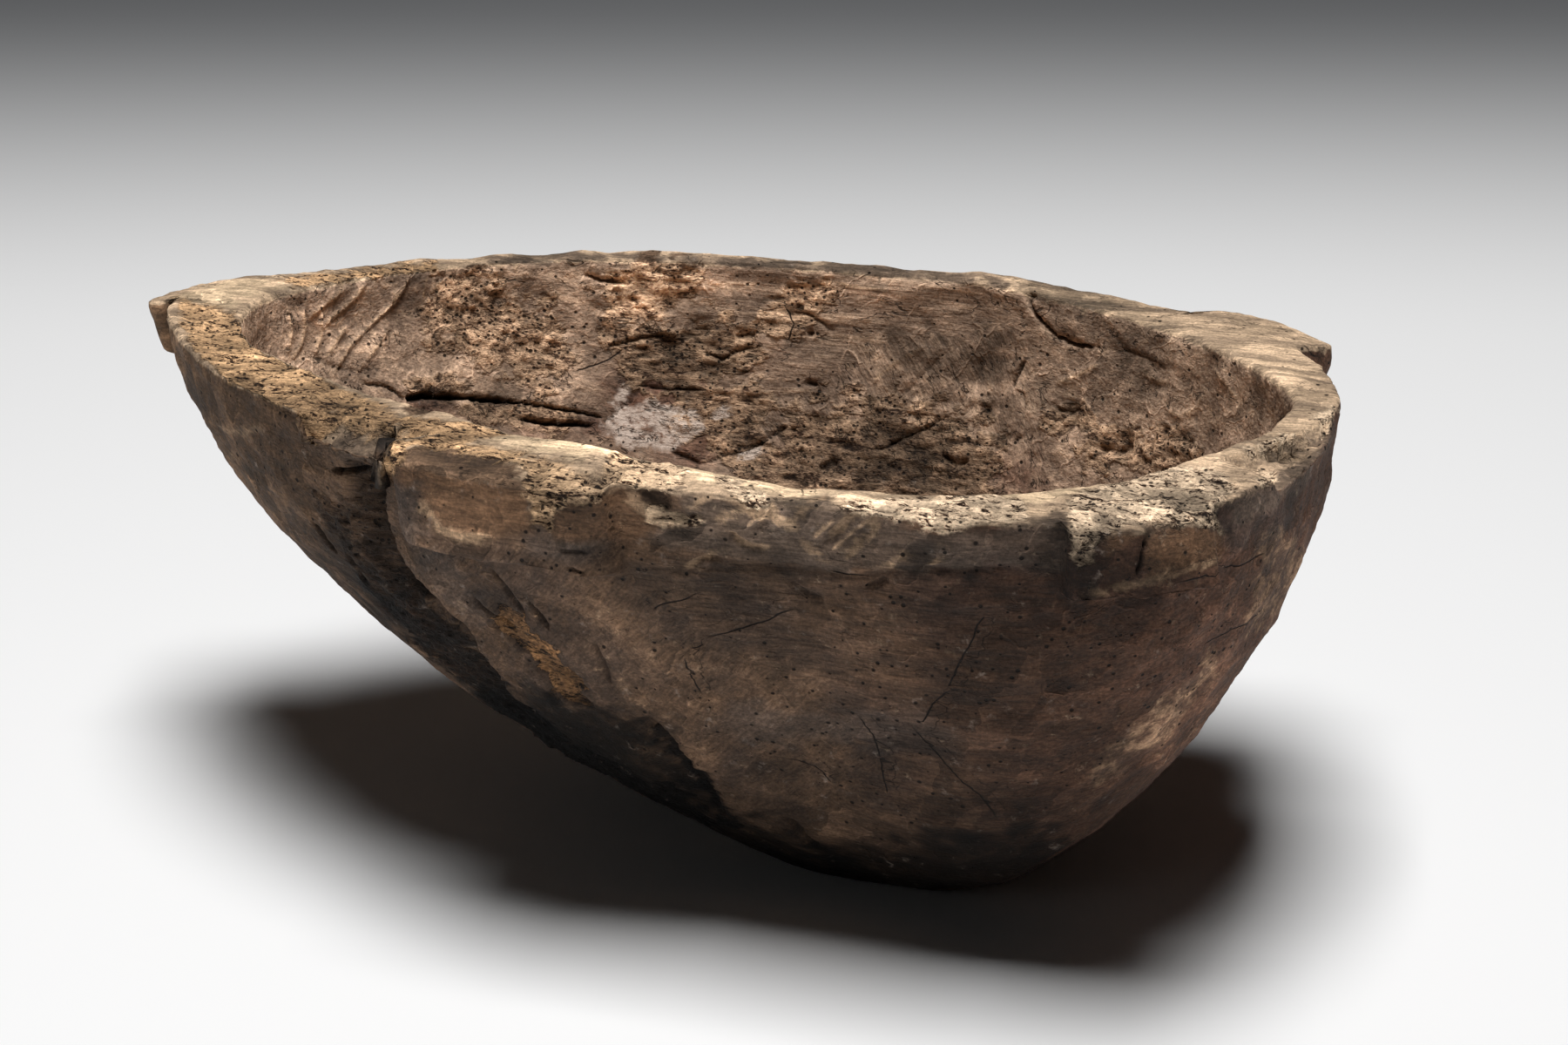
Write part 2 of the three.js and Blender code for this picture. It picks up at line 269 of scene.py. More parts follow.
def lumps(points, size, seed, octaves=1):
    """Value noise from -1 to 1: random corner values joined by quintic ease, with finer and
    weaker copies added. The size is in millimetres, and may differ along X, Y and Z."""
    total = np.zeros(points.shape[:-1])
    weight = 1.0
    weights = 0.0
    place = points / np.array(size, float)
    for octave in range(octaves):
        low = np.floor(place)
        share = place - low
        share = share ** 3 * (share * (share * 6 - 15) + 10)
        layer = np.zeros(points.shape[:-1])
        for step in cube_corners():
            amount = np.where(step, share, 1 - share).prod(-1)
            layer += amount * corner_value(low + step, seed + OCTAVE_SEED * octave)
        total += weight * layer
        weights += weight
        weight *= OCTAVE_WEIGHT
        place = place * OCTAVE_SCALE + OCTAVE_MOVE
    return total / weights * NOISE_STRENGTH


def scoops(points, size, seed):
    """Distances to the nearest and the next of scattered points, one in each box of the size."""
    place = points / np.array(size, float) - 0.5
    low = np.floor(place)
    near = np.full(points.shape[:-1], np.inf)
    following = np.full(points.shape[:-1], np.inf)
    for step in cube_corners():
        corner = low + step
        seat = np.stack([corner_value(corner, seed + i) for i in range(3)], -1) * SCATTER
        distance = np.linalg.norm(place - corner - seat, axis=-1)
        following = np.minimum(following, np.maximum(near, distance))
        near = np.minimum(near, distance)
    return near, following


def camera_axes():
    """The camera's directions: to the right, ahead and up."""
    turn = math.radians(CAMERA_TURN)
    down = math.radians(CAMERA_DOWN)
    right = np.array((math.cos(turn), math.sin(turn), 0))
    ahead = np.array((-math.sin(turn) * math.cos(down), math.cos(turn) * math.cos(down), -math.sin(down)))
    return right, ahead, np.cross(right, ahead)


def sight_line(x, y):
    """The ray from the camera through a pixel of the picture."""
    right, ahead = (Vector(axis) for axis in camera_axes()[:2])
    up = right.cross(ahead)
    scale = SENSOR / LENS / PICTURE[0]
    return (ahead + right * (x - PICTURE[0] / 2) * scale - up * (y - PICTURE[1] / 2) * scale).normalized()


def picture_places(points):
    """Where the points stand in the photo's picture, in pixels."""
    right, ahead, up = camera_axes()
    away = points - np.array(CAMERA)
    scale = LENS / SENSOR * PICTURE[0] / (away @ ahead)
    return np.stack([PICTURE[0] / 2 + (away @ right) * scale, PICTURE[1] / 2 - (away @ up) * scale], -1)


def pixels_of(way):
    """The pixels of a way that is written as pairs of x,y."""
    return [tuple(int(number) for number in pair.split(",")) for pair in way.split()]


def seen_points(way, surface):
    """The points of the bowl that stand at the pixels of a way, and the direction each one faces."""
    found = []
    faced = []
    for x, y in pixels_of(way):
        spot, normal, _, _ = surface.ray_cast(Vector(CAMERA), sight_line(x, y))
        if spot is None:
            raise RuntimeError(f"no wood stands at pixel {x}, {y}")
        found.append(spot)
        faced.append(normal)
    return np.array(found), np.array(faced)


def near_line(points, normals, way, surface, width):
    """For the points within a width of a way in the picture, on the same side of the wall: which
    they are, their distance from it, with a sign for its two sides, and their share of its length."""
    path, faced = seen_points(way, surface)
    low = path.min(0) - width
    high = path.max(0) + width
    which = np.flatnonzero(np.all((points > low) & (points < high), axis=1))
    here = points[which]
    best = np.full(len(which), np.inf)
    side = np.ones(len(which))
    share = np.zeros(len(which))
    same = np.zeros(len(which))
    steps = np.linalg.norm(np.diff(path, axis=0), axis=1)
    whole = steps.sum()
    gone = 0.0
    for start, end, length, facing_sum in zip(path[:-1], path[1:], steps, faced[:-1] + faced[1:]):
        along = (end - start) / length
        t = np.clip((here - start) @ along, 0, length)
        gap = here - start - t[:, None] * along
        distance = np.linalg.norm(gap, axis=1)
        closer = distance < best
        best = np.where(closer, distance, best)
        sign = np.sign(np.einsum("ij,ij->i", np.cross(along, normals[which]), gap))
        side = np.where(closer, sign, side)
        share = np.where(closer, (gone + t) / whole, share)
        same = np.where(closer, normals[which] @ facing_sum, same)
        gone += length
    keep = (best < width) & (same > SAME_SIDE)
    return which[keep], best[keep] * np.where(side[keep] == 0, 1, side[keep]), share[keep]


# Grooves as the photo shows them: width and depth in millimetres, and their way in pixels. A
# negative depth raises a ridge.
GROOVES = {
    "split's top": (12, 20, "441,484 438,500 434,530 436,545"),
    "split's pocket": (14, 10, "462,674 480,684 497,690"),
    "split's crack": (5, 9, "436,545 436,575 439,600 444,618 456,642 470,664"),
    "gap under the ledge": (5, 9, "378,540 400,543 436,541"),
    "split's gap 1": (6, 7, "424,577 438,579"),
    "split's gap 2": (5, 6, "428,598 440,598"),
    "slot": (5.5, 14, "462,466 469,457 485,454 520,455 560,458 600,462 622,466"),
    "slot's end": (4, 6, "614,464 640,469 665,473 692,479"),
    "second slot": (6, 9, "598,480 616,484 646,487 680,488"),
    "second slot's end": (3, 3, "690,486 704,478 714,466 728,460"),
    "slot's tip crack": (4, 4, "415,440 440,443 455,450 466,461"),
    "left hair crack": (3, 2, "360,408 375,419 392,423 426,428"),
    "rim notch": (12, 6, "1183,335 1184,339 1185,344"),
    "back crack": (4, 7, "1183,336 1182,347 1188,360 1200,374 1213,387 1232,396 1262,399"),
    "back crack's end": (3, 1.5, "1262,399 1290,403 1320,412 1340,425"),
    "wall check": (4, 3.5, "1176,414 1170,426 1164,440 1163,448"),
    "wall check's end": (3, 2.5, "1164,446 1174,452 1177,466 1176,480"),
    "lug check": (4, 5, "1317,603 1313,630 1308,662"),
    "chisel 1": (8, 4, "562,655 574,668 588,690 600,708"),
    "chisel 2": (6, 4, "604,690 615,704 628,724"),
    "chisel 3": (5, 3.5, "540,688 552,700 572,716 590,730"),
    "chisel 4": (6, 3, "682,742 692,762 700,788"),
    "chisel 5": (9, 6, "360,597 372,614 386,634"),
    "chisel 6": (8, 4, "400,638 408,652 416,668"),
    "gouge": (20, 5, "733,563 750,572 770,582"),
    "scoop": (26, 6, "672,545 690,549 712,542"),
    "small hole": (6, 6, "703,606 706,612"),
    "chip 1": (9, 3, "836,612 856,624 878,632"),
    "chip 2": (8, 2.5, "790,652 808,640 830,643"),
    "wall crack 1": (4, 3, "650,654 668,659 690,664"),
    "wall crack 2": (4, 2.5, "640,634 665,636 700,640"),
    "band foot": (10, 1.6, "705,642 760,655 830,650 905,652 985,662 1060,652 1140,654 1225,656"),
    "fissure 1": (3.5, 3, "700,397 722,392 742,388 756,385 772,383"),
    "fissure 2": (4, 3, "803,402 818,408 830,413 846,403 866,398"),
    "fissure 3": (4, 4, "728,442 760,446 800,447 812,447"),
    "fissure 4": (3.5, 3, "806,534 832,522 858,516 880,505 905,488"),
    "fissure 5": (4, 2.5, "905,362 924,359 940,368 956,380"),
    "fissure 6": (5, 4, "668,313 690,322 724,327"),
    "fissure 7": (8, 4, "924,438 938,442"),
    "fissure 8": (5, 4, "770,518 790,526 806,534"),
    "fissure 9": (4, 3, "1000,518 1018,513 1036,503 1062,492 1090,476"),
    "fissure 10": (5, 3, "1210,468 1226,474 1240,470"),
    "pit 1": (8, 2.5, "905,668 920,680 945,694"),
    "pit 2": (10, 3.5, "995,676 1018,666"),
    "pit 3": (10, 4, "905,940 925,958 940,970"),
    "pit 4": (8, 5, "928,382 934,384"),
    "pit 5": (8, 4, "868,384 846,386"),
    "pit 6": (7, 3, "1256,512 1280,520 1300,512"),
    "pit 7": (7, 3.5, "1080,520 1098,534 1112,528"),
    "pit 8": (10, 5, "940,538 962,530"),
    "pit 9": (7, 5, "1404,560 1418,556"),
    "pit 10": (7, 4, "1320,598 1332,606"),
    "ledge hollow": (22, 5, "1440,527 1470,520 1500,512"),
    "fan ridge 1": (5, -2.1, "400,319 385,340 355,362"),
    "fan ridge 2": (5, -2.4, "421,318 411,338 396,352 372,372"),
    "fan ridge 3": (5, -2.7, "473,311 463,330 452,348 428,370 402,396 384,428"),
    "fan ridge 4": (4, -1.8, "489,318 487,342"),
    "fan ridge 5": (5, -2.4, "346,354 349,376 345,395 335,411"),
    "fan ridge 6": (5, -2.1, "368,358 369,384 361,407"),
    "fan ridge 7": (4, -1.8, "328,350 334,380 329,408"),
    "fan ridge 8": (4, -1.8, "446,376 432,398 410,428"),
    "fan ridge 9": (4, -1.8, "398,374 386,392 372,414"),
    "shoulder ridge 1": (5, -1.6, "858,604 872,590 888,576"),
    "shoulder ridge 2": (5, -1.8, "934,618 952,600 976,582"),
    "shoulder ridge 3": (5, -1.8, "956,630 978,612 1002,594"),
    "shoulder ridge 4": (5, -1.4, "976,640 1000,618 1012,602"),
    "shoulder cut 1": (9, 2.2, "866,608 884,594 900,578"),
    "shoulder cut 2": (10, 2.4, "944,624 966,604 990,588"),
    "adze ridge 1": (6, -1.4, "1262,418 1240,430 1212,441"),
    "adze ridge 2": (6, -1.4, "1310,425 1322,434 1340,440"),
    "adze ridge 3": (5, -1.3, "1340,470 1356,478 1372,470 1382,452"),
    "adze ridge 4": (5, -1.2, "1392,420 1410,440 1420,458"),
    "adze ridge 5": (5, -1.2, "955,322 968,326 990,330 1020,332"),
    "strokes 1": (5, -1.0, "1000,440 1030,415 1060,398"),
    "strokes 2": (4, 1.2, "1020,470 1050,440 1085,405 1110,392"),
    "strokes 3": (4, 1.4, "1100,470 1118,440 1130,412"),
    "strokes 4": (4, 1.3, "1070,500 1098,486 1120,462"),
}

# Steps in the wood: width and depth in millimetres, and the way of the step's edge in pixels. The
# wood is lower on the left of the edge, and rises again over the width. All edges fall over the
# same short distance.
STEPS = {
    "split": (36, 16, "436,541 436,560 438,590 443,615 455,645 472,668 500,692"),
    "worn band": (52, 9, "485,680 500,692 530,722 556,762 575,790 600,812 625,832 655,850"),
    "lower step": (40, 9, "740,822 770,850 800,890 822,920 840,942"),
}
STEP_EDGE = 5

# How the grain is turned about Y where it slants, outside and in the hollow
WALL_SLANT = math.radians(50)
HOLLOW_SLANT = math.radians(-58)

# Fine cracks, which the wood's finish draws
HAIR_CRACKS = {
    "front": "1135,703 1122,718 1112,742 1098,768 1086,795 1070,812 1054,838",
    "front low": "1046,838 1062,858 1084,880 1104,898 1126,916 1146,940",
    "left 1": "750,702 758,693 776,690 792,687 801,681",
    "left 2": "785,757 798,748 808,740 814,730",
    "left 3": "816,732 832,728 850,722 880,715 896,704 912,700",
    "left 4": "785,757 790,774 804,797",
    "middle": "984,818 1002,848 1010,878 1018,915",
    "right 1": "1352,672 1386,660 1420,650 1452,634",
    "right 2": "1386,742 1420,722 1452,698",
    "low 1": "900,872 922,876 940,882 955,900",
    "rim 1": "921,556 922,566 920,580",
    "ledge": "1498,398 1505,408 1520,410",
    "top 1": "600,504 640,507 690,510",
    "band": "952,656 970,660 992,662",
    "inner 1": "900,352 912,372 905,392",
    "inner 2": "660,426 690,418 715,402",
}

# Areas of one finish, each with its outline in pixels. Those in the hollow are named apart.
TORN_AREAS = {
    "left rim": ("203,346 240,350 268,362 300,388 345,418 385,443 430,462 452,478 440,500 425,496 "
                 "385,492 352,514 338,472 300,458 262,438 236,414 214,386"),
    "splinters": "455,478 500,478 545,486 590,494 562,502 520,506 500,516 480,508 462,498",
    "lug's torn side": "444,494 462,500 470,515 462,530 452,546 436,538 437,515",
    "lug's torn top": "500,510 520,505 560,514 604,520 600,533 560,526 520,524",
    "lug's torn end": "598,524 640,530 682,545 702,560 692,578 655,575 634,588 627,608 609,602 604,570",
    "by the scoop": "700,522 740,522 780,532 792,545 767,566 735,560 705,556 688,546",
    "chips": "744,583 765,586 790,592 818,600 790,607 760,604 741,600",
    "front 1": "820,543 845,552 870,562 884,580 868,586 845,570 822,557",
    "front 2": ("956,574 985,577 1010,574 1060,570 1120,567 1172,570 1180,590 1165,599 1130,603 "
                "1095,611 1065,607 1040,596 1005,592 975,584"),
    "front lug": ("1224,576 1250,562 1290,548 1340,540 1380,537 1402,545 1420,560 1405,573 1396,590 "
                  "1402,612 1386,604 1340,600 1300,602 1272,610 1258,626 1254,646 1238,656 1227,640 "
                  "1229,600"),
    "ledge's edge": "1425,519 1470,500 1500,494 1526,486 1522,500 1480,509 1445,522",
    "back rim": "318,324 380,312 440,304 500,298 502,308 420,318 345,331",
    "round end": "1508,478 1530,462 1536,470 1520,486",
    "pits by the ledge": "1440,545 1462,543 1470,552 1450,560",
}
CLEAN_AREAS = {
    "clean strip": ("545,502 600,496 660,502 720,514 790,530 850,548 900,558 960,568 930,573 880,567 "
                    "830,561 780,546 740,532 700,523 650,521 600,516"),
    "facet's edge": "486,574 500,590 520,604 562,611 562,622 525,621 500,609 486,592",
    "pointed end": "206,340 250,326 300,322 330,330 280,345 262,356 230,352",
    "middle of the rim": "1000,566 1100,562 1230,558 1300,545 1260,560 1200,575 1100,570",
    "wall's pale edge": "250,486 275,492 296,492 286,502 262,500",
    "low right": "1250,886 1290,850 1340,806 1380,770 1404,736 1392,780 1350,836 1300,880 1262,900",
    "upper right": "1440,600 1480,610 1500,640 1470,700 1420,740 1440,690 1450,640",
    "left stroke": "712,785 742,812 768,826 764,830 736,816 708,790",
}
# On the rim's top these areas are darkened partly by weathering and partly by painted shade
WEATHERED_AREAS = {
    "shoulder": ("776,560 800,566 830,568 846,577 862,590 872,590 880,575 905,573 948,574 975,588 "
                 "1000,593 1030,600 1045,607 1075,618 1100,607 1165,604 1185,586 1226,582 1226,652 "
                 "1130,654 960,656 830,640 740,622 745,606 790,608"),
    "round end's edge": "1410,575 1440,556 1480,540 1528,490 1534,500 1500,560 1420,600",
    "ledge under": "380,494 430,498 436,516 436,536 400,532 372,520",
    "back rim": "560,290 700,288 860,298 1000,304 1160,322 1160,336 1000,318 860,312 700,300 560,300",
    "by the chips": "640,590 690,582 730,580 742,604 700,626 640,626",
}
# Where these areas reach the rim's top, it is darkened with painted shade
FACET_AREAS = {
    "face": ("436,541 446,524 466,518 484,514 502,507 530,513 560,521 585,526 598,542 604,575 606,610 "
             "560,616 515,604 492,590 484,570 482,545 470,560 445,552"),
    "lug's front": "1318,602 1345,602 1385,606 1402,614 1402,648 1360,660 1318,668 1314,640",
    "lug's upper left": "1262,626 1275,612 1300,604 1306,618 1290,628 1268,640",
    "spike": "628,610 632,575 665,580 700,562 712,552 730,575 745,604 740,625 640,622",
}
WORMY_AREAS = {
    "front lug": "1050,598 1228,592 1400,580 1406,680 1228,700 1120,690 1050,650",
    "low front": "780,760 900,740 1160,720 1180,900 980,940 820,850",
    "left rim": "205,350 262,356 345,420 440,480 352,514 262,440",
    "ledge": "1380,520 1480,505 1530,480 1530,600 1420,620 1400,560",
    "right wall": "1180,700 1300,690 1450,640 1440,760 1320,860 1180,900",
    "facet": "436,500 600,520 780,600 780,660 500,640 440,620",
}
WORMY_HOLLOW = {
    "left": "400,330 520,305 720,300 760,340 640,400 480,400",
    "middle": "860,440 960,430 960,480 860,480",
}
SLANTED_WALL = {
    "left front": "436,610 520,628 720,650 760,700 940,790 1010,880 940,960 700,890 560,800 470,690",
}
SLANTED_HOLLOW = {
    "back": ("1000,395 1060,382 1130,384 1176,400 1196,470 1196,560 1090,565 1000,545 900,530 830,520 "
             "880,470 950,440"),
}
REDDISH_HOLLOW = {
    "lime's edge": "700,420 760,400 830,420 860,470 860,520 800,540 690,500",
    "low middle": "940,480 1040,500 1130,510 1190,540 1190,570 1040,566 920,550 880,510",
    "slot": "470,462 600,470 700,480 710,505 600,496 480,476",
}

# Places painted darker or lighter than their surroundings, in halvings or doublings of the
# display's brightness, each with its outline in pixels: partly the wood's own tone, and partly
# painted shade and painted light, with a painted contact shadow on the undersides.
TONES_AND_PAINTED_LIGHT = {
    "painted shadow under the left side": (-1.7,
        "520,790 580,800 640,802 690,818 730,845 770,882 810,915 860,945 900,965 960,990 960,1025 "
        "900,1012 820,978 740,938 660,898 600,862 540,822"),
    "painted shadow under the right side": (-1.4,
        "940,980 1020,985 1060,965 1110,952 1180,952 1215,962 1200,998 1140,1028 1060,1048 980,1044 "
        "930,1020"),
    "over the underside": (-0.5, "1080,915 1160,915 1260,925 1230,960 1100,955 1060,950"),
    "wall, right": (-0.5, "1060,690 1140,660 1240,690 1240,760 1220,830 1140,850 1080,800"),
    "front lug": (-0.7, "1222,600 1300,600 1345,650 1330,690 1250,700 1180,665 1180,640"),
    "under the shoulder": (-0.45, "690,630 760,620 900,640 890,680 780,690 680,665"),
    "band": (-0.6, "1040,630 1120,635 1130,670 1040,680"),
    "tip's wall": (-0.4, "205,400 240,410 280,480 260,510 220,460"),
    "left wall": (-0.7, "300,520 340,540 400,600 430,660 420,690 380,650 330,590 290,540"),
    "left wall's foot": (-1.0, "420,680 450,690 500,740 470,750 430,710"),
    "torn left rim": (-0.4, "330,430 440,440 450,475 420,500 350,480 320,450"),
    "facet's top": (-0.5, "500,515 580,520 600,545 560,555 500,540"),
    "torn lug": (-0.35, "600,525 690,550 700,580 630,605 605,600"),
    "torn right": (-0.4, "1330,560 1400,560 1410,600 1340,600"),
    "back rim": (-0.5, "1180,318 1300,330 1300,350 1180,345"),
    "facet": (0.35, "480,560 600,560 640,600 600,620 500,600"),
    "spike": (0.4, "690,560 732,562 732,600 700,600"),
    "notch": (-0.5, "738,572 772,574 796,590 788,606 745,604"),
    "pointed end": (-0.2, "215,335 260,325 310,325 310,350 225,362"),
    "pale rim": (0.4, "680,510 770,520 870,542 900,558 860,556 780,536 690,528"),
    "shoulder": (0.5, "775,570 830,570 900,590 900,612 830,610 775,600"),
    "left front": (0.35, "580,650 640,640 700,700 760,740 790,800 740,800 690,760 620,700"),
    "middle": (0.4, "900,740 980,740 990,800 920,800"),
    "right edge": (0.45, "1380,690 1430,700 1400,800 1340,870 1290,880 1330,830 1370,770"),
}
# The same for the hollow: partly the wood's own tone, partly painted shade and painted light
HOLLOW_TONES_AND_PAINTED_LIGHT = {
    "back's top": (0.6, "700,310 820,310 900,318 1000,322 1050,340 1000,352 900,350 800,350 740,370 "
                        "700,350"),
    "back's left": (0.5, "500,315 590,320 590,345 500,345"),
    "over the slot": (0.3, "560,395 640,395 640,440 570,440"),
    "right pits": (0.3, "1260,490 1320,490 1340,530 1270,530"),
    "left end": (0.25, "310,335 420,330 430,390 335,400"),
    "right back": (-0.8, "1010,380 1150,380 1170,420 1140,455 1060,450 1010,430"),
    "low": (-0.5, "960,490 1010,480 1060,500 1140,480 1140,550 1050,560 960,545"),
    "over the lime": (-0.6, "770,400 830,410 820,450 770,460"),
    "slot": (-0.6, "490,438 580,445 580,470 490,462"),
    "low, left": (-0.35, "930,525 1060,520 1070,560 940,560"),
    "right wall": (-0.4, "1290,400 1340,400 1335,475 1295,470"),
}

# The softness of a tone's edge in pixels, and the factor of light that doubles the display's
# brightness
TONE_SOFTNESS = 22
TONE_BASE = 4.6

# Pale strokes where the wood was rubbed or chipped: reach in millimetres, and way in pixels
STROKES = {
    "shoulder 1": (2.5, "776,589 798,579 818,570"),
    "shoulder 2": (2.5, "824,600 838,590 850,582"),
    "shoulder 3": (3, "912,595 926,583 938,575 948,574"),
    "shoulder 4": (2.5, "954,616 970,600 986,588"),
    "shoulder 5": (3, "974,637 990,618 1000,605 1006,598"),
    "shoulder 6": (2.5, "1012,652 1024,646 1036,636"),
    "shoulder 7": (3, "1072,647 1080,638 1086,626"),
    "chip 1": (5, "884,588 896,596 908,604"),
    "chip 2": (3.5, "922,622 932,632 940,640"),
    "chip 3": (3, "792,651 800,641 812,640 822,632"),
    "chip 4": (3, "838,608 846,620 862,626 882,628"),
    "chip 5": (5, "848,572 860,582 872,592"),
    "facet's low edge": (4, "488,584 505,604 526,616 556,620"),
    "lug's low edge": (2.5, "1244,684 1300,672 1345,660 1394,646"),
    "gouge's edge": (4, "726,578 744,592 766,600"),
    "spike's edge": (3, "700,566 712,553 728,572"),
    "left edge": (3, "250,492 270,498 296,492"),
}

# Patches of one finish: reach about their way in millimetres, and their way in pixels
ERODED = {
    "left of the split": (26, "388,596 420,640 448,676"),
    "band below the split": (42, "455,690 492,735 540,778 585,815 640,855 700,888 770,920"),
    "split's wall": (20, "420,556 424,590 432,630 450,665"),
    "step's foot": (12, "760,850 800,895 840,945"),
    "rough hollow": (50, "940,525 1000,525 1060,520 1100,535"),
    "rough back": (38, "740,400 790,415 840,400"),
    "torn back 1": (40, "540,360 580,385 610,400"),
    "under the slot": (14, "480,470 540,472 600,474 650,480"),
    "over the slot": (10, "475,440 500,440 530,446"),
    "right hollow": (20, "1260,515 1300,515 1360,525"),
    "low hollow": (26, "850,520 880,530 920,545"),
    "torn back 2": (26, "760,330 780,318 720,335"),
    "torn back 3": (22, "930,345 900,370"),
    "around the lime": (30, "800,470 850,470"),
    "pale wall": (14, "1210,480 1240,475"),
}
ROT = {
    "pocket": (19, "588,724 606,736 622,752 638,772 650,794"),
}
LIME = {
    "main": (15, "714,484 735,478 762,482 784,486"),
    "upper": (6, "710,464 716,450"),
    "drip": (9, "716,500 745,505 770,506"),
    "speck 1": (5, "822,478 832,470"),
    "speck 2": (4, "850,524 862,522 872,516"),
}
BLUISH = {
    "lug's side": (24, "462,545 462,590 490,640 530,690"),
    "band": (9, "1060,640 1100,646 1200,650"),
    "low front": (26, "860,830 960,835 1060,850"),
    "tip's side": (12, "215,440 235,470"),
    "lug's end": (18, "1395,620 1430,600 1480,590"),
    "lug under": (16, "620,620 680,615"),
}

# Areas whose masks are outlines in the picture: mask, side of the bowl, outlines, and softness of
# their edges in pixels
AREAS = (
    ("torn", "wall", TORN_AREAS, 5),
    ("clean", "wall", CLEAN_AREAS, 8),
    ("weathered", "wall", WEATHERED_AREAS, 8),
    ("wormy", "wall", WORMY_AREAS, 20),
    ("wormy", "hollow", WORMY_HOLLOW, 20),
    ("slanted", "wall", SLANTED_WALL, 30),
    ("slanted", "hollow", SLANTED_HOLLOW, 20),
    ("reddish", "hollow", REDDISH_HOLLOW, 20),
    ("facet", "wall", FACET_AREAS, 3),
)
PATCHES = {"eroded": ERODED, "rot": ROT, "lime": LIME, "bluish": BLUISH, "stroke": STROKES}

# The share from which a point counts as in the hollow, and the reach of a crack's mask
HOLLOW_SHARE = 0.75
CRACK_REACH = 10.0

# How far each kind of unevenness moves the surface, in millimetres
BROAD_PUSH = 2.2
CUT_PUSH = 2.4
DENT_PUSH = 0.9
EDGE_PUSH = 2.0
SPLINTER_PUSH = 0.35
PIT_PUSH = 2.6

# The square of the distance at which a dish is level with the wall, lower inside and higher outside
DISH_LEVEL = 0.35

# The chipped upper edge: its reach, and how far its middle lies under the top
EDGE_REACH = 16
EDGE_MIDDLE = 4

# The heights between which the small cuts set in, and up to which the foot's flat has an effect
UPPER_WALL = (250, 320)
FOOT_HEIGHT = 10

# How far inward the surface lies where the finish's painted shade in hollows is at half strength
HALF_CAVITY = 2.5


def rim_share(middle, width, along):
    """Place of each column along a piece of the rim, from 0 to 1, about a middle angle."""
    length = RIM_LENGTHS[-1]
    offset = along - np.interp(middle, RIM_ANGLES, RIM_LENGTHS)
    return (np.mod(offset + length / 2, length) - length / 2) / width + 0.5


def outward(angle, lean=0.0):
    """The level direction square to the rim, away from the bowl, turned by the lean."""
    along = edge(OUTER, angle + 1) - edge(OUTER, angle - 1)
    along /= np.linalg.norm(along, axis=-1, keepdims=True)
    out = np.stack([along[..., 1], -along[..., 0]], -1)
    c, s = math.cos(math.radians(lean)), math.sin(math.radians(lean))
    return np.stack([out[..., 0] * c - out[..., 1] * s, out[..., 0] * s + out[..., 1] * c], -1)


def add_lugs(outside, angle, along, height):
    """Pushes the outer wall out at the lugs, whose ends are quarter circles. Gives the lip's edge,
    how far the rim's top falls there, and how far in from the lip that fall reaches."""
    lip = edge(OUTER, angle)
    fall = np.zeros(len(angle))
    root = np.zeros(len(angle))
    z = outside[..., 2]
    for lug in LUGS:
        share = rim_share(lug["angle"], lug["width"], along)
        from_end = np.clip(np.minimum(share, 1 - share) / (lug["corner"] / lug["width"]), 0, 1)
        full = np.where((share > 0) & (share < 1), np.sqrt(1 - (1 - from_end) ** 2), 0)
        low = height - lug["height"]
        up = np.clip((z - low) / (lug["height"] - lug["fall"]), 0, 1)
        face = (lug["bottom"] + (lug["top"] - lug["bottom"]) * up) * full
        under = -LUG_ROOT + (lug["bottom"] * full + LUG_ROOT) * (z - low + lug["under"]) / lug["under"]
        push = np.clip(np.where(z < low, under, face), 0, None) * (full > 0)
        way = outward(angle, lug["lean"])
        outside[..., :2] += push[..., None] * way
        lip += (lug["top"] * full)[:, None] * way
        fall += lug["fall"] * full
        root += (lug["top"] + LUG_ROOT) * full
    return lip, fall, root


def lose_wood(grid, angle, along, height):
    """Lowers the rim where wood is lost from its outer edge."""
    out_edge = edge(OUTER, angle)
    way = outward(angle)
    ragged = lumps(grid, *UNEVEN["loss"])
    for loss in LOSSES:
        share = rim_share(loss["angle"], loss["width"], along)
        ends = smooth(np.minimum(share, 1 - share), -0.02, 0.08)
        depth = loss["depth_tip"] + (loss["depth_round"] - loss["depth_tip"]) * np.clip(share, 0, 1)
        inset = -((grid[..., :2] - out_edge) * way).sum(-1)
        slope = np.clip((inset - depth * loss["level"]) / np.maximum(depth * (1 - loss["level"]), 1), 0, 1)
        cut = height - loss["drop"] * (1 - slope * (1 - loss["level"])) * ends
        cut = cut + LOSS_ROUGHNESS * ragged
        gone = (inset + 1.2 * ragged < depth) & (ends > 0)
        upper = smooth(grid[..., 2], height - loss["drop"] - LOSS_BLEND, height - loss["drop"])
        over = np.where(gone, np.maximum(grid[..., 2] - cut, 0), 0) * upper
        grid[..., 2] -= over * LOSS_SHARE


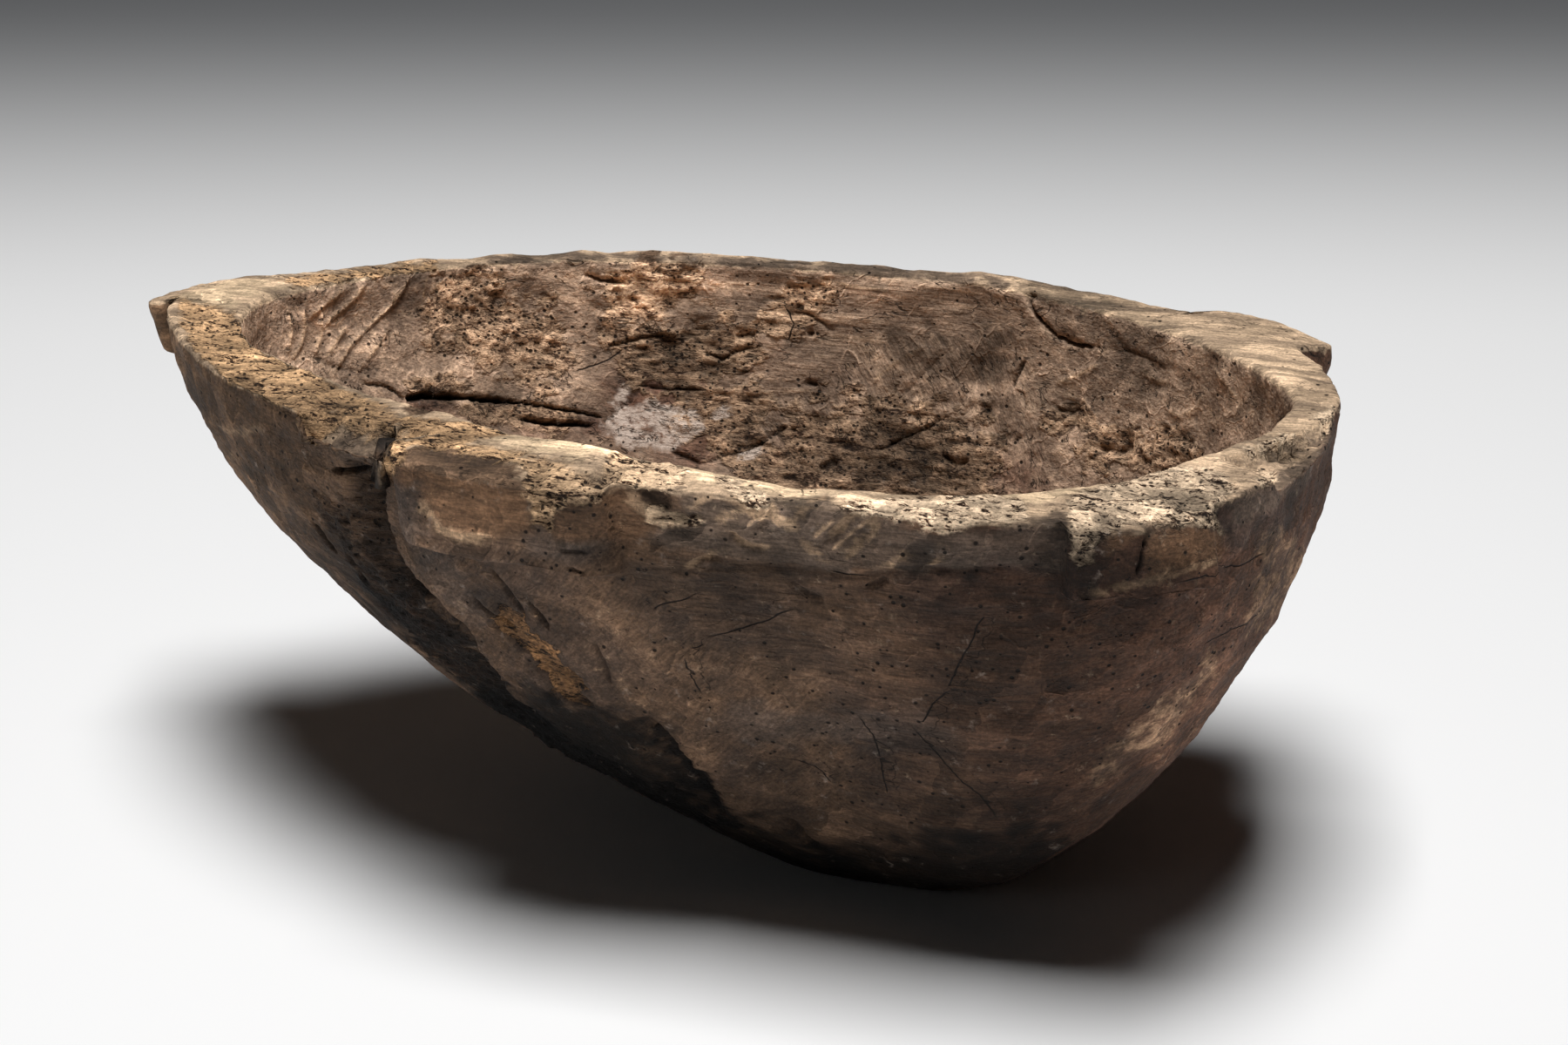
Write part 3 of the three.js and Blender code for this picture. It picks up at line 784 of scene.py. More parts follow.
def rough_bowl(columns, rows, height, rounding):
    """The bowl with its lugs and lost edges, rows by columns by X, Y and Z in millimetres. The rows
    run from the foot's middle up the outer wall, over the rim, and down the hollow to its middle.
    Also gives the share of each point that is inside, and on the rim, and the two middle points."""
    angle = even_angles(columns)[0]
    along = np.interp(angle, RIM_ANGLES, RIM_LENGTHS)
    outer_rows, rim_rows, inner_rows, middle_rows = rows
    walls = []
    for side, count in ((OUTER, outer_rows), (INNER, inner_rows)):
        turns = even_turns(side, count, height)[:, None] * top_turn(side, angle, height - rounding, height)
        walls.append(wall(side, angle, turns, height))
    outside, inside = walls[0], walls[1][::-1]
    lip, fall, root = add_lugs(outside, angle, along, height)
    in_edge = edge(INNER, angle)
    across = in_edge - lip
    across /= np.linalg.norm(across, axis=-1)[:, None]

    # the rim: a quarter circle, the flat top and another quarter circle
    quarter = np.sin(np.linspace(0, 90, rim_rows // 3 + 2)[1:-1] * math.pi / 180)
    rise = np.sqrt(1 - (1 - quarter) ** 2)
    start, finish = outside[-1], inside[0]
    first = start[:, :2] + (lip + across * rounding - start[:, :2]) * quarter[:, None, None]
    last = finish[:, :2] + (in_edge - across * rounding - finish[:, :2]) * quarter[::-1, None, None]
    flat = np.linspace(0, 1, rim_rows - 2 * len(quarter))[:, None, None]
    top = (lip + across * rounding) * (1 - flat) + (in_edge - across * rounding) * flat
    level = np.concatenate([rise, np.ones(len(top)), rise[::-1]])
    rim = np.concatenate([first, top, last])
    inset = np.linalg.norm(rim - lip, axis=-1)
    lowered = fall * np.clip(1 - inset / np.maximum(root, 1), 0, 1)
    z = height - rounding + rounding * level[:, None] - lowered
    rim = np.concatenate([rim, z[..., None]], -1)
    outside[..., 2] -= fall * smooth(outside[..., 2], height - LUG_SETTLE, height)

    # the foot and the hollow's bottom close to a middle point
    shares = np.linspace(0, 1, middle_rows + 1)[:-1][:, None, None]
    middles = [np.array([side["base"][axis] for axis in "xyz"], float) for side in (OUTER, INNER)]
    foot = middles[0] + (outside[0] - middles[0]) * shares
    floor = middles[1] + (inside[-1] - middles[1]) * shares[::-1]
    grid = np.concatenate([foot, outside, rim, inside, floor])
    lose_wood(grid, angle, along, height)

    counts = (middle_rows, outer_rows, rim_rows, inner_rows, middle_rows)
    inside_share = np.repeat([0, 0, 0.5, 1, 1], counts)[:, None] * np.ones(columns)
    on_rim = np.repeat([0, 0, 1, 0, 0], counts)[:, None] * np.ones(columns)
    return grid, inside_share, on_rim, middles


def facing(grid):
    """Outward directions: the cross product of the steps between rows and between columns. The
    first row faces straight down and the last one straight up."""
    across = np.roll(grid, -1, 1) - np.roll(grid, 1, 1)
    up = np.gradient(grid, axis=0)
    normal = np.cross(across, up)
    size = np.linalg.norm(normal, axis=-1, keepdims=True)
    normal = normal / np.maximum(size, 1e-9)
    normal[0] = (0, 0, -1)
    normal[-1] = (0, 0, 1)
    return normal


def grid_faces(rows, columns):
    """Corners of the faces: quads between neighbouring rows, and triangles at the two middles."""
    at = np.arange(rows * columns).reshape(rows, columns)
    right = np.roll(at, -1, 1)
    quads = np.stack([at[:-1], right[:-1], right[1:], at[1:]], -1).reshape(-1, 4)
    first = rows * columns
    last = first + 1
    low = np.stack([right[0], at[0], np.full(columns, first)], -1)
    high = np.stack([at[-1], right[-1], np.full(columns, last)], -1)
    return quads, np.concatenate([low, high])


def closed_mesh(name, points, quads, triangles):
    """A mesh of quads and triangles, filled with whole arrays."""
    mesh = bpy.data.meshes.new(name)
    corners = np.concatenate([quads.ravel(), triangles.ravel()])
    starts = np.concatenate([np.arange(len(quads)) * 4, len(quads) * 4 + np.arange(len(triangles)) * 3])
    mesh.vertices.add(len(points))
    mesh.vertices.foreach_set("co", points.astype(np.float32).ravel())
    mesh.loops.add(len(corners))
    mesh.loops.foreach_set("vertex_index", corners.astype(np.int32))
    mesh.polygons.add(len(starts))
    mesh.polygons.foreach_set("loop_start", starts.astype(np.int32))
    mesh.update(calc_edges=True)
    mesh.validate()
    return mesh


def area_mask(places, seen, outlines, ragged, softness):
    """A mask from 0 to 1 for the seen points inside the outlines: the signed distance to each
    outline's nearest side, made ragged, and eased over a softness in pixels."""
    mask = np.zeros(len(places))
    for outline in outlines:
        corners = np.array(pixels_of(outline), float)
        low = corners.min(0) - 2 * softness
        high = corners.max(0) + 2 * softness
        which = np.flatnonzero(seen & np.all((places > low) & (places < high), axis=1))
        here = places[which]
        gap = np.full(len(which), np.inf)
        within = np.zeros(len(which), bool)
        for start, end in zip(corners, np.roll(corners, -1, 0)):
            along = end - start
            share = np.clip((here - start) @ along / (along @ along), 0, 1)
            gap = np.minimum(gap, np.linalg.norm(here - start - share[:, None] * along, axis=1))
            spans = (here[:, 1] > start[1]) != (here[:, 1] > end[1])
            rise = along[1] if along[1] != 0 else 1.0
            crossing = start[0] + (here[:, 1] - start[1]) / rise * along[0]
            within ^= spans & (here[:, 0] < crossing)
        signed = np.where(within, gap, -gap) + softness * 0.9 * ragged[which]
        mask[which] = np.maximum(mask[which], smooth(signed, -softness, softness))
    return mask


def patch_mask(points, normals, patches, surface, ragged):
    """A mask from 0 to 1: full at each patch's way, and ended by its reach, with ragged edges."""
    mask = np.zeros(len(points))
    for reach_mm, way in patches.values():
        which, gap, _ = near_line(points, normals, way, surface, reach_mm * 1.5)
        value = smooth(1 - np.abs(gap) / reach_mm + 0.5 * ragged[which], -0.15, 0.45)
        mask[which] = np.maximum(mask[which], value)
    return mask


def tone_and_light_mask(places, seen, tones, ragged):
    """The sum of the tones at each seen point, each weighed by its own area's mask. The tones are
    partly the wood's own and partly painted shade and painted light.
    """
    total = np.zeros(len(places))
    for amount, outline in tones.values():
        total += amount * area_mask(places, seen, [outline], ragged, TONE_SOFTNESS)
    return total


def picture_masks(points, normals, inside, surface, ragged):
    """The masks of the finish that the outlines and ways in the picture give."""
    places = picture_places(points)
    seen = np.einsum("ij,ij->i", normals, points - np.array(CAMERA)) < 0
    sides = {"wall": seen & (inside < HOLLOW_SHARE), "hollow": seen & (inside > HOLLOW_SHARE)}
    masks = {}
    for name, side, areas, softness in AREAS:
        found = area_mask(places, sides[side], areas.values(), ragged, softness)
        masks[name] = np.maximum(masks.get(name, 0), found)
    for name, patches in PATCHES.items():
        masks[name] = patch_mask(points, normals, patches, surface, ragged)
    # The tones paint shade and light onto the areas, besides the wood's own tone
    masks["tone_and_painted_light"] = tone_and_light_mask(places, sides["wall"], TONES_AND_PAINTED_LIGHT, ragged)
    masks["tone_and_painted_light"] += tone_and_light_mask(places, sides["hollow"], HOLLOW_TONES_AND_PAINTED_LIGHT, ragged)
    return masks


def crack_masks(points, normals, surface):
    """How far each point lies from the nearest hair crack, with a sign for its two sides, from -1
    to 1, and a mask that fades at the cracks' ends."""
    side = np.full(len(points), CRACK_REACH)
    near = np.zeros(len(points))
    for way in HAIR_CRACKS.values():
        which, gap, share = near_line(points, normals, way, surface, CRACK_REACH)
        side[which] = gap
        near[which] = smooth(np.minimum(share, 1 - share), 0.0, 0.06)
    return side / CRACK_REACH, near


def tool_marks(points, inside, rim, masks, facet_depth):
    """How far each point goes out for broad unevenness, small cuts and the tool's facets, each a
    shallow dish round a scattered point, and how near it is to a ridge between two dishes, which
    the finish lightens as a painted highlight."""
    on_wall = inside < HOLLOW_SHARE
    push = BROAD_PUSH * lumps(points, *UNEVEN["broad"])
    chopped = np.maximum(masks["weathered"], 0.7 * masks["facet"]) * on_wall
    chopped = np.maximum(chopped, 0.5 * smooth(points[:, 2], *UPPER_WALL) * on_wall * (1 - rim))
    small, after = scoops(points, *DISHES["cuts"])
    push += CUT_PUSH * chopped * (small ** 2 - DISH_LEVEL)
    near, following = scoops(points, *DISHES["facets"])
    push += facet_depth * (near ** 2 - DISH_LEVEL) * (1.25 - 0.35 * inside) * (1 - 0.5 * rim)
    ridge_highlight = np.maximum(smooth(following - near, 0.10, 0.0), 0.8 * chopped * smooth(after - small, 0.12, 0.0))
    return push, ridge_highlight


def roughen(push, points, inside, rim, masks, height, tear):
    """Adds what wear did: small dents with sharp ridges between them, a chipped upper edge, and
    grain torn along the log, so along X. Gives the share that is rough, and the splinters."""
    dented = 1 - 2.2 * np.abs(lumps(points, *UNEVEN["dents"]))
    rough = np.maximum(masks["torn"], 0.8 * masks["eroded"])
    push += DENT_PUSH * dented * (0.45 + 0.2 * inside + 0.7 * rough) * (1 - 0.5 * rim)
    by_edge = smooth(np.abs(points[:, 2] - (height - EDGE_MIDDLE)), EDGE_REACH, 0) * (inside < HOLLOW_SHARE)
    push += EDGE_PUSH * by_edge * lumps(points, *UNEVEN["edge"])
    splinter = lumps(points, *UNEVEN["splinters"])
    lump = lumps(points, *UNEVEN["lumps"])
    push += tear * rough * (0.6 * splinter + 0.6 * lump - 0.3)
    push += SPLINTER_PUSH * splinter * (1 - rough)
    push -= tear * 1.2 * masks["rot"]
    pits = scoops(points, *DISHES["pits"])[0]
    pitted = smooth(0.34 - pits, 0, 0.16) * smooth(lump, -0.1, 0.35)
    push -= PIT_PUSH * pitted * rough
    return rough, splinter


def cut_grooves(push, points, normals, surface, ragged):
    """Each groove is a notch as deep as its mark, narrowing to its ends, and a ridge is one turned
    outward, which goes into the push at once. Gives the depth, a mask of ridges, and a mask of
    painted shade inside deep grooves."""
    depth = np.zeros(len(points))
    deep_groove_shade = np.zeros(len(points))
    raised = np.zeros(len(points))
    for width, deep, way in GROOVES.values():
        which, gap, share = near_line(points, normals, way, surface, width * 0.75)
        narrow = np.sqrt(np.clip(np.minimum(share, 1 - share) * 6 + 0.12, 0, 1))
        half = width / 2 * narrow * (1 + 0.35 * ragged[which])
        notch = np.clip(1 - np.abs(gap) / np.maximum(half, 0.4), 0, 1)
        if deep < 0:
            push[which] += -deep * smooth(notch, 0, 1)
            raised[which] = np.maximum(raised[which], smooth(notch, 0.1, 0.8))
        else:
            amount = deep * narrow * smooth(notch, 0, 0.75)
            depth[which] = np.maximum(depth[which], amount)
            steep = np.clip((deep / width - 0.3) / 0.5, 0, 1)
            deep_groove_shade[which] = np.maximum(deep_groove_shade[which], steep * smooth(amount, 1.0, 6.0))
    return depth, raised, deep_groove_shade


def step_depth(points, normals, surface, ragged):
    """How far each point lies under a step: most at the step's way, and less away from it."""
    lowered = np.zeros(len(points))
    for width, deep, way in STEPS.values():
        which, gap, share = near_line(points, normals, way, surface, width)
        ends = smooth(np.minimum(share * 12, (1 - share) * 5), 0, 1)
        gap = gap + 2.5 * ragged[which]
        profile = np.where(gap > 0, 1 - gap / width, 1 + gap / STEP_EDGE)
        lowered[which] = np.maximum(lowered[which], deep * ends * np.clip(profile, 0, 1))
    return lowered


def carved_bowl(sizes):
    """The bowl's points, faces and masks: the rough bowl, moved along its own directions by the
    marks of tools and wear."""
    rows = [max(FEWEST_ROWS, round(count * (sizes.columns / ROWS_COLUMNS))) for count in ROWS]
    height = (BOWL_HIGH.z - BOWL_LOW.z) / MM
    grid, inside, rim, middles = rough_bowl(sizes.columns, rows, height, sizes.edge_round / MM)
    quads, triangles = grid_faces(*grid.shape[:2])
    points = grid.reshape(-1, 3)
    corners = np.concatenate([points, middles])
    surface = BVHTree.FromPolygons(corners.tolist(), quads.tolist(), all_triangles=False)
    normals = facing(grid).reshape(-1, 3)
    inside = inside.ravel()
    rim = rim.ravel()

    ragged = lumps(points, *UNEVEN["ragged"])
    masks = picture_masks(points, normals, inside, surface, ragged)
    push, ridge_highlight = tool_marks(points, inside, rim, masks, sizes.facet_depth / MM)
    rough, splinter = roughen(push, points, inside, rim, masks, height, sizes.tear_depth / MM)
    depth, raised, deep_groove_shade = cut_grooves(push, points, normals, surface, ragged)
    lowered = step_depth(points, normals, surface, ragged)
    push -= np.maximum(depth, lowered) + 0.35 * np.minimum(depth, lowered)
    push *= np.where(inside < 0.5, smooth(points[:, 2], 0, FOOT_HEIGHT), 1)
    moved = points + normals * push[:, None]

    side, near = crack_masks(points, normals, surface)
    masks.update({
        # The hollow mask is painted shade inside deep grooves.
        "inside": inside, "rim": rim, "ridge_highlight": ridge_highlight, "hollow": deep_groove_shade, "crack_side": side,
        # Raised ridges take the pale stroke colour as a painted highlight.
        "crack_near": near, "stroke": np.maximum(masks["stroke"], 0.8 * raised),
        # painted shade where the surface lies inward
        "cavity_shade": np.clip(-0.5 * push / HALF_CAVITY + 0.5 * rough * (0.2 - splinter), -1, 1)})
    return np.concatenate([moved, middles]), quads, triangles, masks


def make_bowl(sizes):
    """The bowl as one closed mesh in metres, with its masks as attributes, which are nought at the
    two middle points."""
    points, quads, triangles, masks = carved_bowl(sizes)
    mesh = closed_mesh("dug_out_bowl", points * MM, quads, triangles)
    for name, values in masks.items():
        layer = mesh.attributes.new(name, "FLOAT", "POINT")
        layer.data.foreach_set("value", np.append(values, [0, 0]).astype(np.float32))
    bowl = bpy.data.objects.new("dug_out_bowl", mesh)
    bpy.context.scene.collection.objects.link(bowl)
    return bowl


def thin_out(bowl, most):
    """Collapses edges where the surface is smooth, until at most this many triangles are left."""
    count = len(bowl.data.polygons) * 2
    if count > most:
        thin = bowl.modifiers.new("thin", "DECIMATE")
        thin.ratio = most / count
        bpy.context.view_layer.objects.active = bowl
        bpy.ops.object.modifier_apply(modifier=thin.name)
    bowl.data.shade_smooth()


class Value:
    """A result in a node tree. Sums, differences and products of it add Math nodes."""

    def __init__(self, nodes, socket):
        self.nodes = nodes
        self.socket = socket

    def maths(self, operation, *others, clamp=False):
        """A Math node's result from this value and others."""
        return self.nodes.maths(operation, self, *others, clamp=clamp)

    def __add__(self, other):
        return self.maths("ADD", other)

    def __sub__(self, other):
        return self.maths("SUBTRACT", other)

    def __mul__(self, other):
        return self.maths("MULTIPLY", other)

    def scaled(self, factor, added):
        """The value times a factor, plus another value."""
        return self.maths("MULTIPLY_ADD", factor, added)

    def above(self, limit):
        """One where the value is over the limit, else nought."""
        return self.maths("GREATER_THAN", limit)

    def or_more(self, other, clamp=False):
        """The larger of this value and another."""
        return self.maths("MAXIMUM", other, clamp=clamp)

    def ramp(self, low, high, to_low=0.0, to_high=1.0, ease="SMOOTHSTEP"):
        """The value taken from one range to another, eased at both ends."""
        inputs = {"Value": self, "From Min": low, "From Max": high, "To Min": to_low, "To Max": to_high}
        return self.nodes.add("ShaderNodeMapRange", inputs, interpolation_type=ease)["Result"]


class Results:
    """The outputs of a node, each given as a Value by its name or number."""

    def __init__(self, nodes, sockets):
        self.nodes = nodes
        self.sockets = sockets

    def __getitem__(self, name):
        return Value(self.nodes, self.sockets[name])


class Nodes:
    """A node tree under construction. Inputs are plain values, or Values to link."""

    def __init__(self, tree):
        self.tree = tree

    def give(self, socket, value):
        """Links a Value to a socket, or sets the socket to a plain value."""
        if isinstance(value, Value):
            self.tree.links.new(value.socket, socket)
        else:
            socket.default_value = value

    def add(self, kind, inputs=None, **settings):
        """The outputs of a new node with its settings, and its inputs by name or number."""
        made = self.tree.nodes.new(kind)
        for name, value in settings.items():
            setattr(made, name, value)
        for name, value in (inputs or {}).items():
            self.give(made.inputs[name], value)
        return Results(self, made.outputs)

    def maths(self, operation, *values, clamp=False):
        """A Math node's result."""
        return self.add("ShaderNodeMath", dict(enumerate(values)), operation=operation, use_clamp=clamp)[0]

    def vectors(self, operation, first, second):
        """A Vector Math node's result."""
        names = (0, "Scale") if operation == "SCALE" else (0, 1)
        return self.add("ShaderNodeVectorMath", dict(zip(names, (first, second))), operation=operation)[0]

    def turned(self, vector, angle, axis="Y_AXIS"):
        """The vector turned about an axis through the middle."""
        return self.add("ShaderNodeVectorRotate", {"Vector": vector, "Angle": angle}, rotation_type=axis)[0]

    def drawn_out(self, vector, length):
        """The vector with its X divided by a length, which draws a pattern out along X."""
        narrow = self.maths("DIVIDE", 1.0, length)
        scale = self.add("ShaderNodeCombineXYZ", {"X": narrow, "Y": 1.0, "Z": 1.0})[0]
        return self.vectors("MULTIPLY", vector, scale)

    def noise(self, vector, scale, detail=3.0, roughness=0.55, distortion=0.0):
        """A noise texture's value."""
        inputs = {"Vector": vector, "Scale": scale, "Detail": detail, "Roughness": roughness,
                  "Distortion": distortion}
        return self.add("ShaderNodeTexNoise", inputs)["Fac"]

    def cells(self, vector, scale, feature="F1"):
        """The outputs of a cell texture."""
        return self.add("ShaderNodeTexVoronoi", {"Vector": vector, "Scale": scale}, feature=feature)

    def parts(self, colour):
        """The red, green and blue of a colour."""
        return self.add("ShaderNodeSeparateColor", {"Color": colour})

    def blend(self, amount, first, second, kind="MIX"):
        """One colour laid over another by an amount."""
        inputs = {0: amount, 6: first, 7: second}
        for place in (6, 7):
            if not isinstance(inputs[place], Value):
                inputs[place] = (*inputs[place][:3], 1)
        return self.add("ShaderNodeMix", inputs, data_type="RGBA", blend_type=kind, clamp_factor=True)[2]

    def layered(self, colour, *layers):
        """A colour with others laid over it in turn, each by its amount."""
        for amount, over in layers:
            colour = self.blend(amount, colour, over)
        return colour


def wood_grain(nodes, given):
    """Grain along the log, or turned about Y: fine streaks, wider bands, cloudy patches and short
    thin checks, each from 0 to 1."""
    turned = nodes.turned(given["Vector"], given["Turn"])
    along = nodes.drawn_out(turned, given["Stretch"])
    shorter = nodes.vectors("MULTIPLY", turned, (0.35, 1.0, 1.0))
    level = nodes.noise(shorter, 75.0, 3.0, 0.65, 0.6) - 0.5
    line = level.maths("ABSOLUTE").ramp(0.006, 0.02, 1.0, 0.0)
    return {"Streaks": nodes.noise(along, 420.0, 3.0, 0.6, 0.3),
            "Bands": nodes.noise(along, 95.0, 4.0, 0.6, 0.6),
            "Clouds": nodes.noise(given["Vector"], 11.0, 4.0, 0.6, 0.4),
            "Checks": line * nodes.noise(given["Vector"], 55.0, 2.0).ramp(0.5, 0.6)}


def worm_holes(nodes, given):
    """Round beetle holes: spheres round scattered points, cut by the surface. Some boxes of the
    scatter have none, and clouds leave areas free."""
    scale = nodes.maths("DIVIDE", 1.0, given["Spacing"])
    cells = nodes.cells(given["Vector"], scale)
    pick = nodes.parts(cells["Color"])
    radius = given["Hole radius"] * scale * pick[1].scaled(0.9, 0.6)
    hole = cells["Distance"].ramp(radius * 0.7, radius * 1.25, 1.0, 0.0, "LINEAR")
    limit = given["Amount"] * nodes.noise(given["Vector"], 16.0, 2.0).ramp(0.38, 0.62, 0.35, 1.6)
    return {"Mask": hole * pick[0].maths("LESS_THAN", limit)}


def dents(nodes, given):
    """Small dents with sharp ridges between them, at two sizes."""
    scale = nodes.maths("DIVIDE", 1.0, given["Size"])
    ridges = []
    for strength, finer in ((-4.0, 1.0), (-1.8, 2.7)):
        folded = nodes.noise(given["Vector"], scale * finer, 2.0, 0.5, 0.4) - 0.5
        ridges.append(folded.maths("ABSOLUTE") * strength)
    return {"Height": ridges[0] + ridges[1]}


def hewn_facets(nodes, given):
    """Flat places left by the tool: each has its own tone, with thin raised edges between some."""
    scale = nodes.maths("DIVIDE", 1.0, given["Size"])
    turned = nodes.turned(given["Vector"], given["Turn"])
    drawn = nodes.vectors("MULTIPLY", turned, (0.5, 1.0, 1.0))
    bent = nodes.add("ShaderNodeTexNoise", {"Vector": given["Vector"], "Scale": scale, "Detail": 3.0})
    away = nodes.vectors("SUBTRACT", bent["Color"], (0.5, 0.5, 0.5))
    place = nodes.vectors("ADD", drawn, nodes.vectors("SCALE", away, 0.03))
    line = nodes.cells(place, scale, "DISTANCE_TO_EDGE")["Distance"].ramp(0.0, 0.05, 1.0, 0.0)
    return {"Tone": nodes.parts(nodes.cells(place, scale)["Color"])[0],
            "Edges": line * nodes.noise(given["Vector"], scale, 3.0).ramp(0.48, 0.6)}


def torn_fibres(nodes, given):
    """Torn grain: splinters along the log with gaps between them."""
    along = nodes.drawn_out(given["Vector"], given["Length"])
    fine = nodes.noise(along, 620.0, 3.0, 0.7, 0.5)
    wide = nodes.noise(along, 240.0, 3.0, 0.65, 0.9)
    broad = nodes.noise(along, 100.0, 3.0, 0.65, 0.9)
    height = broad.scaled(0.4, fine.scaled(0.4, wide * 0.35) - 0.075)
    return {"Height": height, "Gaps": height.ramp(0.445, 0.40)}


def ragged_edge(nodes, given):
    """A soft mask given a broken edge by noise."""
    rough = nodes.noise(given["Vector"], given["Scale"], 4.0, 0.65) - 0.5
    low = nodes.maths("SUBTRACT", 0.5, given["Softness"])
    high = nodes.maths("ADD", 0.5, given["Softness"])
    return {"Mask": rough.scaled(1.6, given["Mask"]).ramp(low, high)}


# Node groups: their name, inputs with their defaults, and what builds them. An input without a
# default is a vector.
GROUPS = {
    "grain": ("Wood grain", {"Vector": None, "Stretch": 9.0, "Turn": 0.0}, wood_grain),
    "holes": ("Worm holes", {"Vector": None, "Spacing": 0.012, "Hole radius": 0.0011, "Amount": 0.5},
              worm_holes),
    "fibres": ("Torn fibres", {"Vector": None, "Length": 4.0}, torn_fibres),
    "edge": ("Ragged edge", {"Mask": 0.0, "Vector": None, "Scale": 90.0, "Softness": 0.15}, ragged_edge),
    "dents": ("Dents", {"Vector": None, "Size": 0.02}, dents),
    "facets": ("Hewn facets", {"Vector": None, "Size": 0.04, "Turn": 0.0}, hewn_facets),
}


def make_group(name, inputs, build):
    """A shader node group with its named inputs and outputs."""
    tree = bpy.data.node_groups.new(name, "ShaderNodeTree")
    for label, default in inputs.items():
        kind = "NodeSocketVector" if default is None else "NodeSocketFloat"
        socket = tree.interface.new_socket(label, in_out="INPUT", socket_type=kind)
        if default is not None:
            socket.default_value = default
    nodes = Nodes(tree)
    outputs = build(nodes, nodes.add("NodeGroupInput"))
    for label in outputs:
        tree.interface.new_socket(label, in_out="OUTPUT", socket_type="NodeSocketFloat")
    end = tree.nodes.new("NodeGroupOutput")
    for label, value in outputs.items():
        nodes.give(end.inputs[label], value)
    return tree


# Masks stored on the surface, and those with an edge broken by noise: its scale and softness
# Some stored masks carry painted shade and light: shade inside deep grooves and where the surface lies
# inward, highlights on ridges, and the areas' tones
MASKS = ("inside", "wormy", "slanted", "reddish", "bluish", "facet", "hollow", "cavity_shade", "ridge_highlight", "tone_and_painted_light",
         "crack_side", "crack_near")
BROKEN_MASKS = {
    "torn": (110.0, 0.34), "eroded": (70.0, 0.3), "rot": (120.0, 0.1), "lime": (90.0, 0.35),
    "clean": (60.0, 0.35), "weathered": (50.0, 0.4), "rim": (60.0, 0.3), "stroke": (190.0, 0.4),
}

# How far grain and fibres are drawn out along the log, the pores' distance as a share of that of
# the beetle holes and their amount, the dents' size and the relief's depth in metres, and the gloss
GRAIN_STRETCH = 9.0
FIBRE_LENGTH = 3.0
PORE_SPACING = 0.42
PORE_AMOUNT = 0.22
DENT_SIZE = 0.02
BUMP_DISTANCE = 0.0012
SHEEN = 0.25


